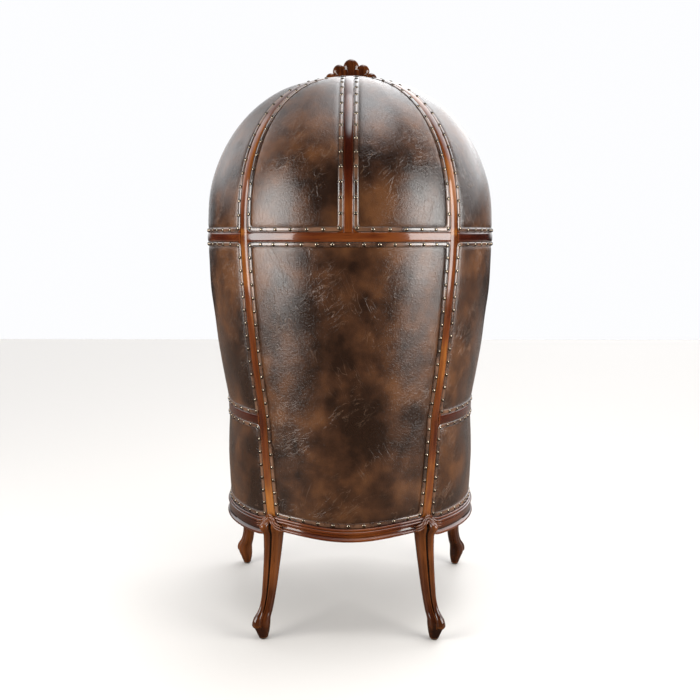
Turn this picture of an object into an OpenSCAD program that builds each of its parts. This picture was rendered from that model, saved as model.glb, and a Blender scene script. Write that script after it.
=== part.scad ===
// Hooded hall porter chair: show-wood frame, leather panels, tufted lining, loose seat cushion.
// Millimetres, Z up. The sitter faces -Y, and "left" is the sitter's left, at +X.

/* [Body and hood] */
// Height of the waist band's centre line above the floor
band_z = 1105; // [1070:5:1140]
// Half width of the body at the waist band
hood_a = 418; // [404:2:430]
// Depth of the body from its widest line to the back, at the waist band
hood_b = 413; // [400:1:425]
// Rise of the hood above the waist band
hood_c = 456; // [430:2:480]
// Fullness of the hood's outline, where 2 is an ellipse
hood_n = 2.2; // [2:0.05:2.4]
// Half width of the body below the arms
low_a = 364; // [356:1:372]
// How much the half width falls from the band to the arms, per millimetre
flare = 0.145; // [0.13:0.005:0.16]
// How much the back comes forward from the band to the seat, per millimetre
lean = 0.067; // [0.05:0.005:0.08]
// Distance from the widest line forward to the front of the hood arch
arch_fore = 350; // [330:2:370]
// Height of the top of the crest above the floor
crest_top = 1683; // [1670:1:1700]
// Distance from the widest line forward to the foot of the wing
wing_fore = 62; // [40:2:90]

/* [Frame] */
// Angle of the rear stiles from the middle of the back
stile_deg = 41.5; // [39:0.5:44]
// Half width of the waist band and the centre rib
strip_hw = 12.2; // [10:0.2:14]
// Half width of the rear stiles and the side ribs
stile_hw = 12.8; // [11:0.2:14]
// Depth of the frame members behind the leather
frame_t = 20; // [16:1:22]
// Width of the ledge that each frame member gives to the leather
ledge = 28; // [24:1:30]
// Height of the seat rails' top at the sides
rail_top = 333; // [326:1:340]
// Height of the side rails
rail_h = 50; // [44:1:54]
// Height of the arm rail's centre line
arm_z = 610; // [600:1:620]

/* [Legs] */
// Half distance between the rear feet
rear_foot_x = 237; // [225:1:245]
// Distance of the rear feet behind the widest line
rear_foot_y = 323; // [312:1:332]
// Half distance between the front feet
front_foot_x = 355; // [345:1:362]
// Distance of the front feet in front of the widest line
front_foot_y = 256; // [246:1:266]

/* [Leather and trim] */
// Thickness of a leather panel with its backing at the nailed edge
panel_t = 4; // [3:0.5:5]
// How far a panel swells in its middle
swell = 5; // [2:0.5:7]
// Width of the gimp band
gimp_w = 13.5; // [11:0.5:15]
// Distance between upholstery nails
nail_pitch = 40; // [34:1:60]
// Diameter of an upholstery nail head
nail_d = 10; // [8:0.5:11]
// Thickness of the tufted lining of the back and sides
lining_t = 44; // [34:1:50]
// Thickness of the hood's lining
hood_lining_t = 30; // [24:1:36]
// Height of the loose seat cushion
cushion_h = 108; // [90:2:120]

/* [Fit] */
// Clearance between pieces that butt
butt = 0.3; // [0.2:0.1:0.5]
// Clearance between curved pieces laid on each other
lay = 0.8; // [0.6:0.1:1]

/* [Hidden] */
pw = 2 / hood_n;
flare_h = 148;
lean_h = 200;
per = 7.3;
strip_t = 8;
apron_mid = 344;
rail_out = 9;
hood_y = (apron_mid + rail_out - hood_b - 2.8) / 2;
panel_in = -strip_t + lay;
panel_out = panel_in + panel_t;
gimp_in = panel_out + lay;
gimp_out = gimp_in + 1.4;
member_in = -strip_t - frame_t;
boss_r = 66;
seat_z = 402;
glide_h = 5;
frame_z = 300;
leg_top = 332;
leg_play = 7;
shade = 0.3;

// The body's surface. A row r up to 0 is a height below the band in millimetres, and a row
// above 0 is a share of the hood's arc. q is the angle from the middle of the back, and
// past 90 it runs straight forward at per millimetres a degree. o is the offset outward.
function hs(w) = pow(max(cos(90 * w), 0), pw);
function hh(w) = pow(max(sin(90 * w), 0), pw);
function w_of_z(z) = asin(pow(max(z - band_z, 0) / hood_c, hood_n / 2)) / 90;
function w_of_s(s) = acos(pow(s, hood_n / 2)) / 90;
function row_z(r) = r <= 0 ? band_z + r : band_z + hood_c * hh(r);
function row_s(r) = r <= 0 ? 1 : hs(r);
function fall(r, k, h) = r < 0 ? k * r * r / (h - r) : 0;
function half_a(r) = max(low_a, hood_a - fall(r, flare, flare_h));
function half_b(r) = hood_b - fall(r, lean, lean_h);
function taper(q) = q <= 90 ? 1 : 1 - 0.03 * pow((q - 90) / 45, 2);
function ease(t) = t <= 0 ? 0 : t >= 1 ? 1 : t * t * (3 - 2 * t);
function rail_rise(q) = abs(q) < 34 ? -4 + 7 * (1 - cos(180 * q / 34))
    : 10 * (1 - ease((abs(q) - 34) / 10));
function low_share(r) = min(max((395 - band_z - r) / (395 - rail_top - 0.4), 0), 1);
function surf(q, r, o) =
    let (s = row_s(r), g = taper(q), a = half_a(r) + o, b = half_b(r) + o)
    let (z = r <= 0 ? band_z + r + rail_rise(q) * low_share(r) : band_z + (hood_c + o) * hh(r) * g)
    q <= 90 ? [a * s * sin(q), b * s * cos(q), z] : [a * s * g, -(q - 90) * per, z];
function rail_at(q, z, o) = let (p = surf(q, z - band_z, o)) [p[0], p[1], z];
function degs(r, mm) = mm / (half_b(r) * max(row_s(r), 0.1)) * 180 / PI;
function step(r, mm) = r < 0 ? r + mm
    : r < 0.5 ? w_of_z(row_z(r) + mm) : w_of_s(row_s(r) - mm / hood_b);
function q_of_fore(f) = 90 + f / per;

// Lines on the surface
function stile_q(r) = r > 0 ? stile_deg + 5 * r
    : stile_deg - 5.6 * pow(max(-r - 305, 0) / 470, 1.5);
function stile_w(r) = stile_hw + (r < 0 ? 2 * min(-r / 700, 1) : 0);
function front_y(z) = wing_fore + (arch_fore - wing_fore) * ease((z - 600) / (band_z - 645));
function front_q(r) = q_of_fore(front_y(row_z(r)));

// Row lists that all pieces share
up_edge = strip_hw + butt;
arm_top = arm_z + strip_hw + butt - band_z;
arm_bot = arm_z - strip_hw - butt - band_z;
low_row = rail_top + 0.4 - band_z;
margin = gimp_w + 1;
band_base = strip_hw + ledge;
upper_rows = concat([arm_top, arm_top + margin], [for (r = [-440:60:-80]) r],
    [-band_base, -up_edge - margin, -up_edge]);
lower_rows = concat([low_row, low_row + margin], [for (z = [395:65:530]) z - band_z],
    [arm_bot - margin, arm_bot]);
panel_rows = concat(lower_rows, upper_rows);
boss_row = w_of_s((boss_r + butt + 1) / hood_b);
function hood_rows(z0, r) = concat([w_of_z(band_z + z0), w_of_z(band_z + up_edge + margin),
    w_of_z(band_z + band_base)], [for (i = [2:12]) i / 14],
    [w_of_s((r + margin) / hood_b), w_of_s(r / hood_b)]);
dome_rows = hood_rows(up_edge, boss_r + butt);

// A solid between an outer and an inner grid of points
module patch(outer, inner) {
    n = len(outer);
    m = len(outer[0]);
    k = n * m;
    function quad(a, b, c, d) = [[a, c, b], [a, d, c]];
    pts = concat([for (row = outer) each row], [for (row = inner) each row]);
    faces = concat(
        [for (i = [0:n - 2], j = [0:m - 2])
            each quad(i * m + j, (i + 1) * m + j, (i + 1) * m + j + 1, i * m + j + 1)],
        [for (i = [0:n - 2], j = [0:m - 2])
            each quad(k + i * m + j, k + i * m + j + 1, k + (i + 1) * m + j + 1, k + (i + 1) * m + j)],
        [for (j = [0:m - 2]) each quad(j, j + 1, k + j + 1, k + j)],
        [for (j = [0:m - 2])
            each quad((n - 1) * m + j + 1, (n - 1) * m + j, k + (n - 1) * m + j, k + (n - 1) * m + j + 1)],
        [for (i = [0:n - 2]) each quad((i + 1) * m, i * m, k + i * m, k + (i + 1) * m)],
        [for (i = [0:n - 2])
            each quad(i * m + m - 1, (i + 1) * m + m - 1, k + (i + 1) * m + m - 1, k + i * m + m - 1)]);
    polyhedron(pts, faces, convexity = 6);
}

// A solid skinned over a stack of closed rings. caps splits a ring that isn't convex.
module loft(rings, caps = []) {
    n = len(rings);
    m = len(rings[0]);
    pts = [for (ring = rings) each ring];
    ends = len(caps) > 0 ? concat(caps, [for (t = caps) [for (k = [2:-1:0]) (n - 1) * m + t[k]]])
        : [[for (j = [0:m - 1]) j], [for (j = [m - 1:-1:0]) (n - 1) * m + j]];
    faces = concat(ends, [for (i = [0:n - 2], j = [0:m - 1]) let (k = (j + 1) % m)
        each [[i * m + j, (i + 1) * m + j, (i + 1) * m + k], [i * m + j, (i + 1) * m + k, i * m + k]]]);
    polyhedron(pts, faces, convexity = 6);
}

module left() translate([0, hood_y, 0]) children();
module right() translate([0, hood_y, 0]) mirror([1, 0, 0]) children();

// A patch of the surface over rows, from angle qa(r) to qb(r), o0 to o1 plus a swell
module sheet(rows, qa, qb, cols, o0, o1) {
    function face(o) = [for (r = rows) [for (j = [0:cols]) surf(qa(r) + (qb(r) - qa(r)) * j / cols, r, o)]];
    patch(face(o1), face(o0));
}

// Section of a frame member, as [across, offset]: a base from -lo to hi under a show strip
function tee(hw, lo, hi, out = 0, top = -strip_t) = [[-lo, member_in], [(hi - lo) / 2, member_in],
    [hi, member_in], [hi, top], [hw, top], [hw, out], [-hw, out], [-hw, top], [-lo, top]];
tee_caps = [[0, 1, 8], [8, 1, 7], [7, 1, 4], [4, 1, 3], [3, 1, 2], [4, 5, 6], [4, 6, 7]];

// A frame member that runs up the surface on the line qc(r)
module upright(rows, qc, hw, lim = 90) loft([for (r = rows) let (b = min(degs(r, hw(r) + ledge), lim))
    [for (p = tee(degs(r, hw(r)), b, b)) surf(qc(r) + p[0], r, p[1])]], tee_caps);
// Its show strip alone, over a neighbour's base, let into the member a shade thinner
module strip_up(r0, r1, qc, hw) sheet([r0, r1], function (r) qc(r) - degs(r, hw(r) - shade),
    function (r) qc(r) + degs(r, hw(r) - shade), 2, panel_in, -shade);

// A frame member that runs round the surface at row r0, between base ends and strip ends
function off_row(r) = r <= 0 ? r : w_of_z(band_z + r);
module around(r0, hw, base_a, base_b, strip_a, strip_b, cols) {
    loft([for (j = [cols:-1:0]) [for (p = tee(hw, hw + ledge, hw + ledge)) let (r = off_row(r0 + p[0]))
        surf(base_a(r) + (base_b(r) - base_a(r)) * j / cols, r, p[1])]], tee_caps);
    rows = [off_row(r0 - hw), off_row(r0 + hw)];
    sheet(rows, strip_a, function (r) base_a(r) + 0.2, 1, panel_in, 0);
    sheet(rows, function (r) base_b(r) - 0.2, strip_b, 1, panel_in, 0);
}

// ---- Legs ----
// Unit section with its ridge on +u, the corner that faces outward
leg_unit = [[0.62, 0.08], [0.46, 0.22], [0.1, 0.5], [-0.3, 0.42], [-0.5, 0.15],
    [-0.5, -0.15], [-0.3, -0.42], [0.1, -0.5], [0.46, -0.22], [0.62, -0.08]];
function leg_ring(x, y, z, w, turn) = [for (p = leg_unit)
    [x + w * (p[0] * sin(turn) - p[1] * cos(turn)), y + w * (p[0] * cos(turn) + p[1] * sin(turn)), z]];

// Height, outward run and width of the rear leg's stations. Run 0 is over the foot.
rear_runs = [[glide_h, 0, 25], [26, 2, 36], [50, 6, 47], [62, 3, 47], [82, -9, 41], [105, -17, 39],
    [150, -26, 42], [200, -33, 46], [250, -39, 51], [290, -42, 56], [leg_top, -44, 58],
    [leg_top + 6, -48, 38]];
// Height, outward run, forward run and width of the front leg's stations
front_runs = [[glide_h, 0, 0, 25], [26, 2, 2, 36], [50, 8, 7, 47], [62, 6, 5, 47], [82, -2, -3, 41],
    [105, -7, -5, 39], [150, -10, -3, 42], [200, -12, 8, 46], [250, -13, 20, 51], [290, -15, 30, 56],
    [leg_top, -16, 34, 58]];

module rear_leg(grow = 0) loft([for (s = rear_runs)
    leg_ring(rear_foot_x + 0.68 * s[1], rear_foot_y + 0.76 * s[1], s[0] + (s[0] > leg_top ? grow : 0),
        s[2] + 2 * grow, 40)]);
module front_leg(grow = 0) loft([for (s = front_runs)
    leg_ring(front_foot_x + s[1], -front_foot_y - s[2], s[0] + (s[0] == leg_top ? grow : 0),
        s[3] + 2 * grow, 130)]);
// Room for the legs in a flat piece under the deck, with play on every side
module leg_room(pts) translate([0, 0, frame_z - 20]) linear_extrude(80)
    polygon([for (p = pts) [p[0], p[1]]]);
module leg_rooms() {
    for (s = rear_runs) if (s[0] == leg_top)
        leg_room(leg_ring(rear_foot_x + 0.68 * s[1], rear_foot_y + 0.76 * s[1], leg_top, s[2] + leg_play, 40));
    for (s = front_runs) if (s[0] == leg_top)
        leg_room(leg_ring(front_foot_x + s[1], -front_foot_y - s[2], leg_top, s[3] + leg_play, 130));
}
module screw(grow) {
    translate([0, 0, -3]) cylinder(h = 3, r = 5 + grow, $fn = 24);
    cylinder(h = 52 + grow, r = 2.5 + grow, $fn = 24);
}
module screws(grow = 0) for (z = [309, 324]) {
    translate([rear_foot_x - 30 - 41, rear_foot_y - 33.4 - 46, z]) rotate([-90, 0, -40]) screw(grow);
    translate([front_foot_x - 16 - 47, -front_foot_y - 34 + 50, z]) rotate([-90, 0, -130]) screw(grow);
}
module rear_leg_left() color("saddlebrown") left() difference() {
    rear_leg();
    screws(butt);
}
module rear_leg_right() color("saddlebrown") right() difference() {
    rear_leg();
    screws(butt);
}
module front_leg_left() color("saddlebrown") left() difference() {
    front_leg();
    screws(butt);
}
module front_leg_right() color("saddlebrown") right() difference() {
    front_leg();
    screws(butt);
}
module glides() {
    translate([rear_foot_x, rear_foot_y, 0]) cylinder(h = glide_h - butt, r = 9, $fn = 32);
    translate([front_foot_x, -front_foot_y, 0]) cylinder(h = glide_h - butt, r = 9, $fn = 32);
}
module foot_glides() color("tan") {
    left() glides();
    right() glides();
}

// ---- Seat rails ----
// Moulded section: outward offset and height from the top, for a rail h high
function rail_pts(h) = [[member_in, -h], [5, -h], [rail_out, -h + 3], [rail_out, -h + 9], [3, -h + 13],
    [3, -13], [7, -9], [7, -3], [1, 0], [member_in, 0]];
module bent_rail(q0, q1, h, rise) {
    n = ceil((q1 - q0) / 5);
    loft([for (i = [0:n]) let (q = q0 + (q1 - q0) * i / n)
        [for (p = rail_pts(h)) rail_at(q, rail_top + rise * rail_rise(q) + p[1], p[0])]]);
}
module rear_seat_rail() color("sienna") left() difference() {
    bent_rail(-38, 38, 36, 1);
    rear_leg(butt);
    mirror([1, 0, 0]) rear_leg(butt);
}
module side_rail() intersection() {
    difference() {
        bent_rail(35, q_of_fore(296), rail_h, 0);
        rear_leg(butt);
        front_leg(butt);
    }
    side_zone();
}
// The part of the plan between the middle of the rear leg and the middle of the front leg
module side_zone() translate([0, 0, 250]) linear_extrude(120)
    polygon([[0, -286], [600, -286], [600, 480], [600 * sin(37), 600 * cos(37)], [0, 0]]);
module side_seat_rail_left() color("sienna") left() side_rail();
module side_seat_rail_right() color("sienna") right() side_rail();
function apron_y(x) = apron_mid - 24 * (1 - cos(180 * x / 320));
apron_xs = [for (i = [9:-1:-9]) 32 * i];
apron_end = 309.7;
// Its ends butt square against the front legs
module front_seat_rail() color("sienna") left() loft([for (x = concat([apron_end], apron_xs, [-apron_end]))
    [for (p = rail_pts(46)) [x, -apron_y(x) - p[0], rail_top + p[1]]]]);
// Outline of the body in plan at row r, offset by o, from the back to a line fore in front
function plan_side(r, o, fore) = concat([for (q = [0:6:90]) surf(q, r, o)],
    [for (f = [60:60:fore - 20]) surf(q_of_fore(f), r, o)], [surf(q_of_fore(fore), r, o)]);
function flat(pts, k) = [for (p = pts) [k * p[0], p[1]]];
function turned(pts) = [for (i = [len(pts) - 1:-1:0]) pts[i]];
function plan(r, o, fore) = concat(flat(turned(plan_side(r, o, fore)), 1), flat(plan_side(r, o, fore), -1));
frame_row = frame_z - band_z;
seat_row = seat_z - band_z;
module seat_frame() color("burlywood") left() difference() {
    translate([0, 0, frame_z]) linear_extrude(32) difference() {
        union() {
            polygon(plan(frame_row, member_in - lay, 262));
            polygon(concat([[-300, -200], [300, -200]],
                [for (x = apron_xs) [x, -apron_y(x) - member_in + butt]]));
        }
        polygon(plan(frame_row, member_in - 46, 236));
    }
    for (k = [0, 1]) mirror([k, 0, 0]) {
        leg_rooms();
        screws(butt);
    }
}
module frame_screws() color("silver") {
    left() screws();
    right() screws();
}

// ---- Show-wood of the back and hood ----
stile_rows = concat([low_row + 1], [for (i = [1:len(panel_rows) - 1]) panel_rows[i]],
    [w_of_z(band_z + strip_hw)]);
module stile() upright(stile_rows, function (r) stile_q(r), function (r) stile_w(r));
module rear_stile_left() color("sienna") left() stile();
module rear_stile_right() color("sienna") right() stile();
function stile_ledge(r) = degs(r, stile_w(r) + ledge + butt);
function stile_edge(r) = degs(r, stile_w(r) + butt);
module rear_band() color("sienna") left() around(0, strip_hw,
    function (r) -stile_q(r) + stile_ledge(r), function (r) stile_q(r) - stile_ledge(r),
    function (r) -stile_q(r) + stile_edge(r), function (r) stile_q(r) - stile_edge(r), 16);
module side_band() around(0, strip_hw,
    function (r) stile_q(r) + stile_ledge(r), function (r) front_q(r) - edge_ledge,
    function (r) stile_q(r) + stile_edge(r), function (r) front_q(r) - edge_strip, 18);
module side_band_left() color("sienna") left() side_band();
module side_band_right() color("sienna") right() side_band();
rib_base = concat([w_of_z(band_z + strip_hw + ledge + butt)], [for (i = [2:12]) i / 14], [boss_row]);
module centre_rib() color("sienna") left() {
    upright(rib_base, function (r) 0, function (r) strip_hw, 20);
    strip_up(w_of_z(band_z + up_edge), w_of_z(band_z + 42), function (r) 0, function (r) strip_hw);
}
side_rib_rows = concat([for (i = [0:len(dome_rows) - 2]) dome_rows[i]], [boss_row]);
module dome_rib() upright(side_rib_rows, function (r) stile_q(r), function (r) stile_hw, 20);
module dome_rib_left() color("sienna") left() dome_rib();
module dome_rib_right() color("sienna") right() dome_rib();
module dome_boss() color("sienna") left() translate([0, 0, band_z + hood_c]) rotate_extrude($fn = 64)
    polygon([[0, member_in], [boss_r * (1 + (member_in - 4) / hood_b), member_in], [boss_r, -3.6],
        [boss_r - 10, 0], [18, 2], [12, 7], [0, 9]]);

// A strip along the crown, between two distances from the middle
function crown(x, q, o) = let (g = taper(q), a = (hood_a + o) * g)
    [x, -(q - 90) * per, band_z + (hood_c + o) * g * pow(1 - pow(abs(x) / a, hood_n), 1 / hood_n)];
crown_q0 = q_of_fore(boss_r + butt);
function crown_q(i, q1) = crown_q0 + (q1 - crown_q0) * i / 5;
module crown_rib() color("sienna") left() {
    loft([for (i = [0:5]) [for (p = tee(strip_hw, strip_hw + ledge, strip_hw + ledge, 0, -strip_t - 0.5))
        crown(p[0], crown_q(i, arch_q - edge_ledge), p[1])]], tee_caps);
    loft([for (q = [arch_q - edge_ledge - 0.2, arch_q - edge_strip])
        [for (p = [[-strip_hw, panel_in], [0, panel_in], [strip_hw, panel_in], [strip_hw, 0], [0, 0],
            [-strip_hw, 0]]) crown(p[0], q, p[1])]]);
}

// ---- Front edge of the hood and wings ----
arch_q = q_of_fore(arch_fore);
edge_w = 34;
edge_strip = (edge_w + butt) / per;
edge_ledge = (edge_w + ledge + butt) / per;
edge_in = member_in - hood_lining_t - 2;
arch_rows = concat([w_of_z(band_z + butt), dome_rows[0], dome_rows[1], dome_rows[2]],
    [for (i = [2:13]) i / 14], [w_of_s(0.05), w_of_s(0.02), w_of_s(0.3 / hood_a)]);
// Its section, as [back from the front edge, offset]: ledge, show face and lip inside
function edge_tee(out) = let (a = -edge_w - ledge, b = -edge_w) [[a, member_in], [-20, member_in],
    [-20, edge_in], [0, edge_in], [0, out], [b, out], [b, -strip_t], [a, -strip_t]];
edge_caps = [[0, 1, 7], [7, 1, 6], [1, 2, 3], [1, 3, 4], [1, 4, 6], [6, 4, 5]];
module edge_member(rows, out) loft([for (r = rows)
    [for (p = edge_tee(out)) surf(front_q(r) + p[0] / per, r, p[1])]], edge_caps);
module arch_half() edge_member(arch_rows, 8);
module arch_left() color("sienna") left() arch_half();
module arch_right() color("sienna") right() arch_half();
wing_rows = concat([arm_top + 2], [for (i = [1:len(upper_rows) - 1]) upper_rows[i]], [-butt]);
module wing_post() edge_member(wing_rows, 8);
module wing_post_left() color("sienna") left() wing_post();
module wing_post_right() color("sienna") right() wing_post();

// ---- Arms ----
arm_front_q = q_of_fore(272);
module arm_rail() {
    r0 = arm_z - band_z;
    rows = [r0 - strip_hw, r0 + strip_hw];
    base_a = function (r) stile_q(r) + stile_ledge(r);
    base_b = function (r) arm_front_q - (ledge + butt) / per;
    section = [[-strip_hw - ledge, member_in], [strip_hw, member_in], [strip_hw, 0], [-strip_hw, 0],
        [-strip_hw, -strip_t], [-strip_hw - ledge, -strip_t]];
    loft([for (j = [16:-1:0]) [for (p = section) let (r = r0 + p[0])
        surf(base_a(r) + (base_b(r) - base_a(r)) * j / 16, r, p[1])]],
        [[0, 4, 5], [0, 1, 4], [1, 2, 4], [2, 3, 4]]);
    sheet(rows, function (r) stile_q(r) + stile_edge(r), function (r) base_a(r) + 0.2, 1, panel_in, 0);
    sheet(rows, function (r) base_b(r) - 0.2, function (r) arm_front_q - butt / per, 1, panel_in, 0);
}
module arm_rail_left() color("sienna") left() arm_rail();
module arm_rail_right() color("sienna") right() arm_rail();
// Forward sway of the arm support at height z
function sway(z) = 8 * sin(360 * (z - leg_top) / (arm_z - leg_top));
edge_x = low_a * taper(arm_front_q);
module arm_support() {
    loft([for (i = [0:8]) let (z = rail_top + butt + (arm_z + 12 - rail_top - butt) * i / 8, s = sway(z))
        [[edge_x - 46, -272, z], [edge_x - 46, -318 - s, z], [edge_x - 12, -326 - s, z],
            [edge_x, -314 - s, z], [edge_x, -272, z]]]);
    sheet([low_row + 2, arm_bot - butt], function (r) arm_front_q - ledge / per,
        function (r) arm_front_q + 1 / per, 2, member_in, -strip_t);
}
module arm_support_left() color("sienna") left() arm_support();
module arm_support_right() color("sienna") right() arm_support();
cap_z = arm_z + strip_hw + 2 * butt;
module arm_plan(x0, back, r) {
    translate([x0 - r, -306 + 35 - r]) square([2 * r, 306 - 35 + r - back]);
    translate([x0, -306 + 35 - r]) circle(r, $fn = 48);
}
module arm_cap() translate([0, 0, cap_z]) linear_extrude(20) arm_plan(edge_x - 31, 72, 35);
module arm_cap_left() color("sienna") left() arm_cap();
module arm_cap_right() color("sienna") right() arm_cap();
module arm_pad() translate([0, 0, cap_z + 20 + butt]) linear_extrude(28) arm_plan(edge_x - 31, 84, 26);
module arm_pad_left() color("saddlebrown") left() arm_pad();
module arm_pad_right() color("saddlebrown") right() arm_pad();

// ---- Crest: a fan of five lobes over a spreading foot that sits on the arch ----
crest_x = 96;
function arch_top(x) = crown(x, q_of_fore(arch_fore - 24), 8)[2] + butt;
module crest() color("sienna") left() translate([0, -arch_fore + 24, 0]) rotate([90, 0, 0])
    linear_extrude(22) union() {
        translate([0, crest_top - 27]) circle(27, $fn = 32);
        for (k = [-1, 1]) {
            translate([k * 41, crest_top - 38]) circle(20, $fn = 32);
            translate([k * 68, crest_top - 65]) circle(18, $fn = 32);
            translate([k * (crest_x - 12), arch_top(crest_x - 12) + 15]) circle(14, $fn = 32);
        }
        polygon(concat([for (i = [-6:6]) let (x = crest_x * i / 6) [x, arch_top(x)]],
            [[72, crest_top - 62], [41, crest_top - 30], [0, crest_top - 20],
                [-41, crest_top - 30], [-72, crest_top - 62]]));
    }

// ---- Leather panels ----
// Its rows and columns next to each edge lie flat under the gimp
function side_step(r, qa, qb, mm, share) = min(degs(r, mm), (qb(r) - qa(r)) * share);
module panel(rows, qa, qb, cols) {
    n = len(rows) - 1;
    function share(k, n) = k < 2 || k > n - 2 ? 0 : 1 - pow(2 * (k - 1) / (n - 2) - 1, 4);
    function col(r, j) = let (m = side_step(r, qa, qb, margin, 0.46), a = qa(r), b = qb(r))
        j == 0 ? a : j == cols ? b : a + m + (b - a - 2 * m) * (j - 1) / (cols - 2);
    color("saddlebrown") patch([for (i = [0:n]) [for (j = [0:cols])
            surf(col(rows[i], j), rows[i], panel_out + swell * share(i, n) * share(j, cols))]],
        [for (i = [0:n]) [for (j = [0:cols]) surf(col(rows[i], j), rows[i], panel_in)]]);
}
back_qa = function (r) -stile_q(r) + stile_edge(r);
back_qb = function (r) stile_q(r) - stile_edge(r);
side_qa = function (r) stile_q(r) + stile_edge(r);
wing_qb = function (r) front_q(r) - edge_strip;
arm_qb = function (r) arm_front_q - butt / per;
rib_qa = function (r) degs(r, strip_hw + butt);
rib_qb = function (r) stile_q(r) - degs(r, stile_hw + butt);
module back_panel() left() panel(panel_rows, back_qa, back_qb, 14);
module side_panel_upper_left() left() panel(upper_rows, side_qa, wing_qb, 14);
module side_panel_upper_right() right() panel(upper_rows, side_qa, wing_qb, 14);
module side_panel_lower_left() left() panel(lower_rows, side_qa, arm_qb, 14);
module side_panel_lower_right() right() panel(lower_rows, side_qa, arm_qb, 14);
module dome_panel_rear_left() left() panel(dome_rows, rib_qa, rib_qb, 10);
module dome_panel_rear_right() right() panel(dome_rows, rib_qa, rib_qb, 10);

// The hood's side sheets end at the boss and, in front of it, at the crown rib
function top_s(q, hw, r) = let (y = (q - 90) * per)
    (q <= 90 ? r * hood_a / hood_b : hw + (r - hw) * (1 - ease((y - r) / 50))) / (hood_a * taper(q));
function side_row(rows, i, q, hw, r) =
    let (k = len(rows) - 1, w = rows[i], t = (w - rows[0]) / (rows[k] - rows[0]))
    w + (w_of_s(top_s(q, hw, r)) - rows[k]) * pow(t, 3);
module hood_sheet(rows, q0, q1, hw, r, o0, o1, cols) {
    function at(i, j, o) = let (w = rows[i], q = q0(w) + (q1(w) - q0(w)) * j / cols)
        surf(q, side_row(rows, i, q, hw, r), o);
    patch([for (i = [0:len(rows) - 1]) [for (j = [0:cols]) at(i, j, o1)]],
        [for (i = [0:len(rows) - 1]) [for (j = [0:cols]) at(i, j, o0)]]);
}
hood_qa = function (r) stile_q(r) + degs(r, stile_hw + butt);
hood_qb = function (r) front_q(r) - edge_strip;
module side_dome() color("saddlebrown") hood_sheet(dome_rows, hood_qa, hood_qb,
    strip_hw + butt, boss_r + butt + 0.5, panel_in + 0.6, panel_out, 18);
module dome_panel_side_left() left() side_dome();
module dome_panel_side_right() right() side_dome();

// ---- Tufted lining ----
lining_out = member_in - lay;
lining_in = lining_out - lining_t;
inner_rows = concat([for (z = [424:60:544]) z - band_z],
    [for (i = [0:len(upper_rows) - 1]) upper_rows[i]], [-1]);
inner_wing_rows = concat([arm_top + 2], [for (i = [1:len(upper_rows) - 1]) upper_rows[i]], [-1]);
module inside_back() color("saddlebrown") left() sheet(inner_rows, function (r) -41,
    function (r) 41, 10, lining_in, lining_out);
module inside_wing() color("saddlebrown") sheet(inner_wing_rows, function (r) 41.2,
    function (r) front_q(r) - 21 / per, 12, lining_in, lining_out);
module inside_wing_left() left() inside_wing();
module inside_wing_right() right() inside_wing();
module inside_arm() color("saddlebrown") sheet([for (z = [424:48:616]) z - band_z],
    function (r) 41.2, function (r) arm_front_q - 1 / per, 12, lining_in, lining_out);
module inside_arm_left() left() inside_arm();
module inside_arm_right() right() inside_arm();
module inside_hood() color("saddlebrown") hood_sheet(hood_rows(1, 22), function (r) 0.2,
    function (r) front_q(r) - 21 / per, 0.4, 22, lining_out - hood_lining_t, lining_out, 16);
module inside_hood_left() left() inside_hood();
module inside_hood_right() right() inside_hood();

// ---- Seat ----
// Half length of a webbing strap that lies y behind the widest line
function web_half(y) = y <= 30 ? 310
    : (low_a + member_in) * sqrt(1 - pow(y / (half_b(frame_row) + member_in), 2)) - 12;
module seat_webbing() color("wheat") left() {
    for (i = [-2:2]) translate([i * 100 - 30, -270, frame_z - butt - 1.2])
        cube([60, 546 - abs(i) * 50, 1.2]);
    for (i = [-2:2]) let (w = web_half(i * 100 + 30))
        translate([-w, i * 100 - 30, frame_z - 2 * butt - 2.4]) cube([2 * w, 60, 1.2]);
}
// A coil of square wire, h high over n turns
module spring(h, n = 3) loft([for (i = [0:6 * n]) let (t = 60 * i, z = 2 + (h - 4) * i / (6 * n))
    [for (p = [[28, 2], [32, 2], [32, -2], [28, -2]]) [p[0] * cos(t), p[0] * sin(t), z + p[1]]]]);
module seat_springs() color("silver") left() for (x = [-120, 0, 120], y = [-150, 0, 150])
    translate([x, y, frame_z]) spring(seat_z - 22 - butt - frame_z);
module seat_deck() color("saddlebrown") left() {
    translate([0, 0, seat_z - 22]) linear_extrude(22) polygon(plan(seat_row, lining_in - 3, 306));
    translate([48 - edge_x, -322, rail_top + butt])
        cube([2 * edge_x - 96, 17, seat_z - rail_top - butt]);
}
module dust_cover() color("dimgray") left() difference() {
    translate([0, 0, frame_z - 3 * butt - 3.6]) linear_extrude(1.2)
        polygon(plan(frame_row, member_in - 20, 262));
    for (k = [0, 1]) mirror([k, 0, 0]) leg_rooms();
}
module seat_cushion() color("saddlebrown") left() translate([0, 0, seat_z + butt])
    linear_extrude(cushion_h) polygon(plan(seat_row, lining_in - 6, 316));
module button() cylinder(h = 5, r1 = 9, r2 = 6, $fn = 24);
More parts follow.
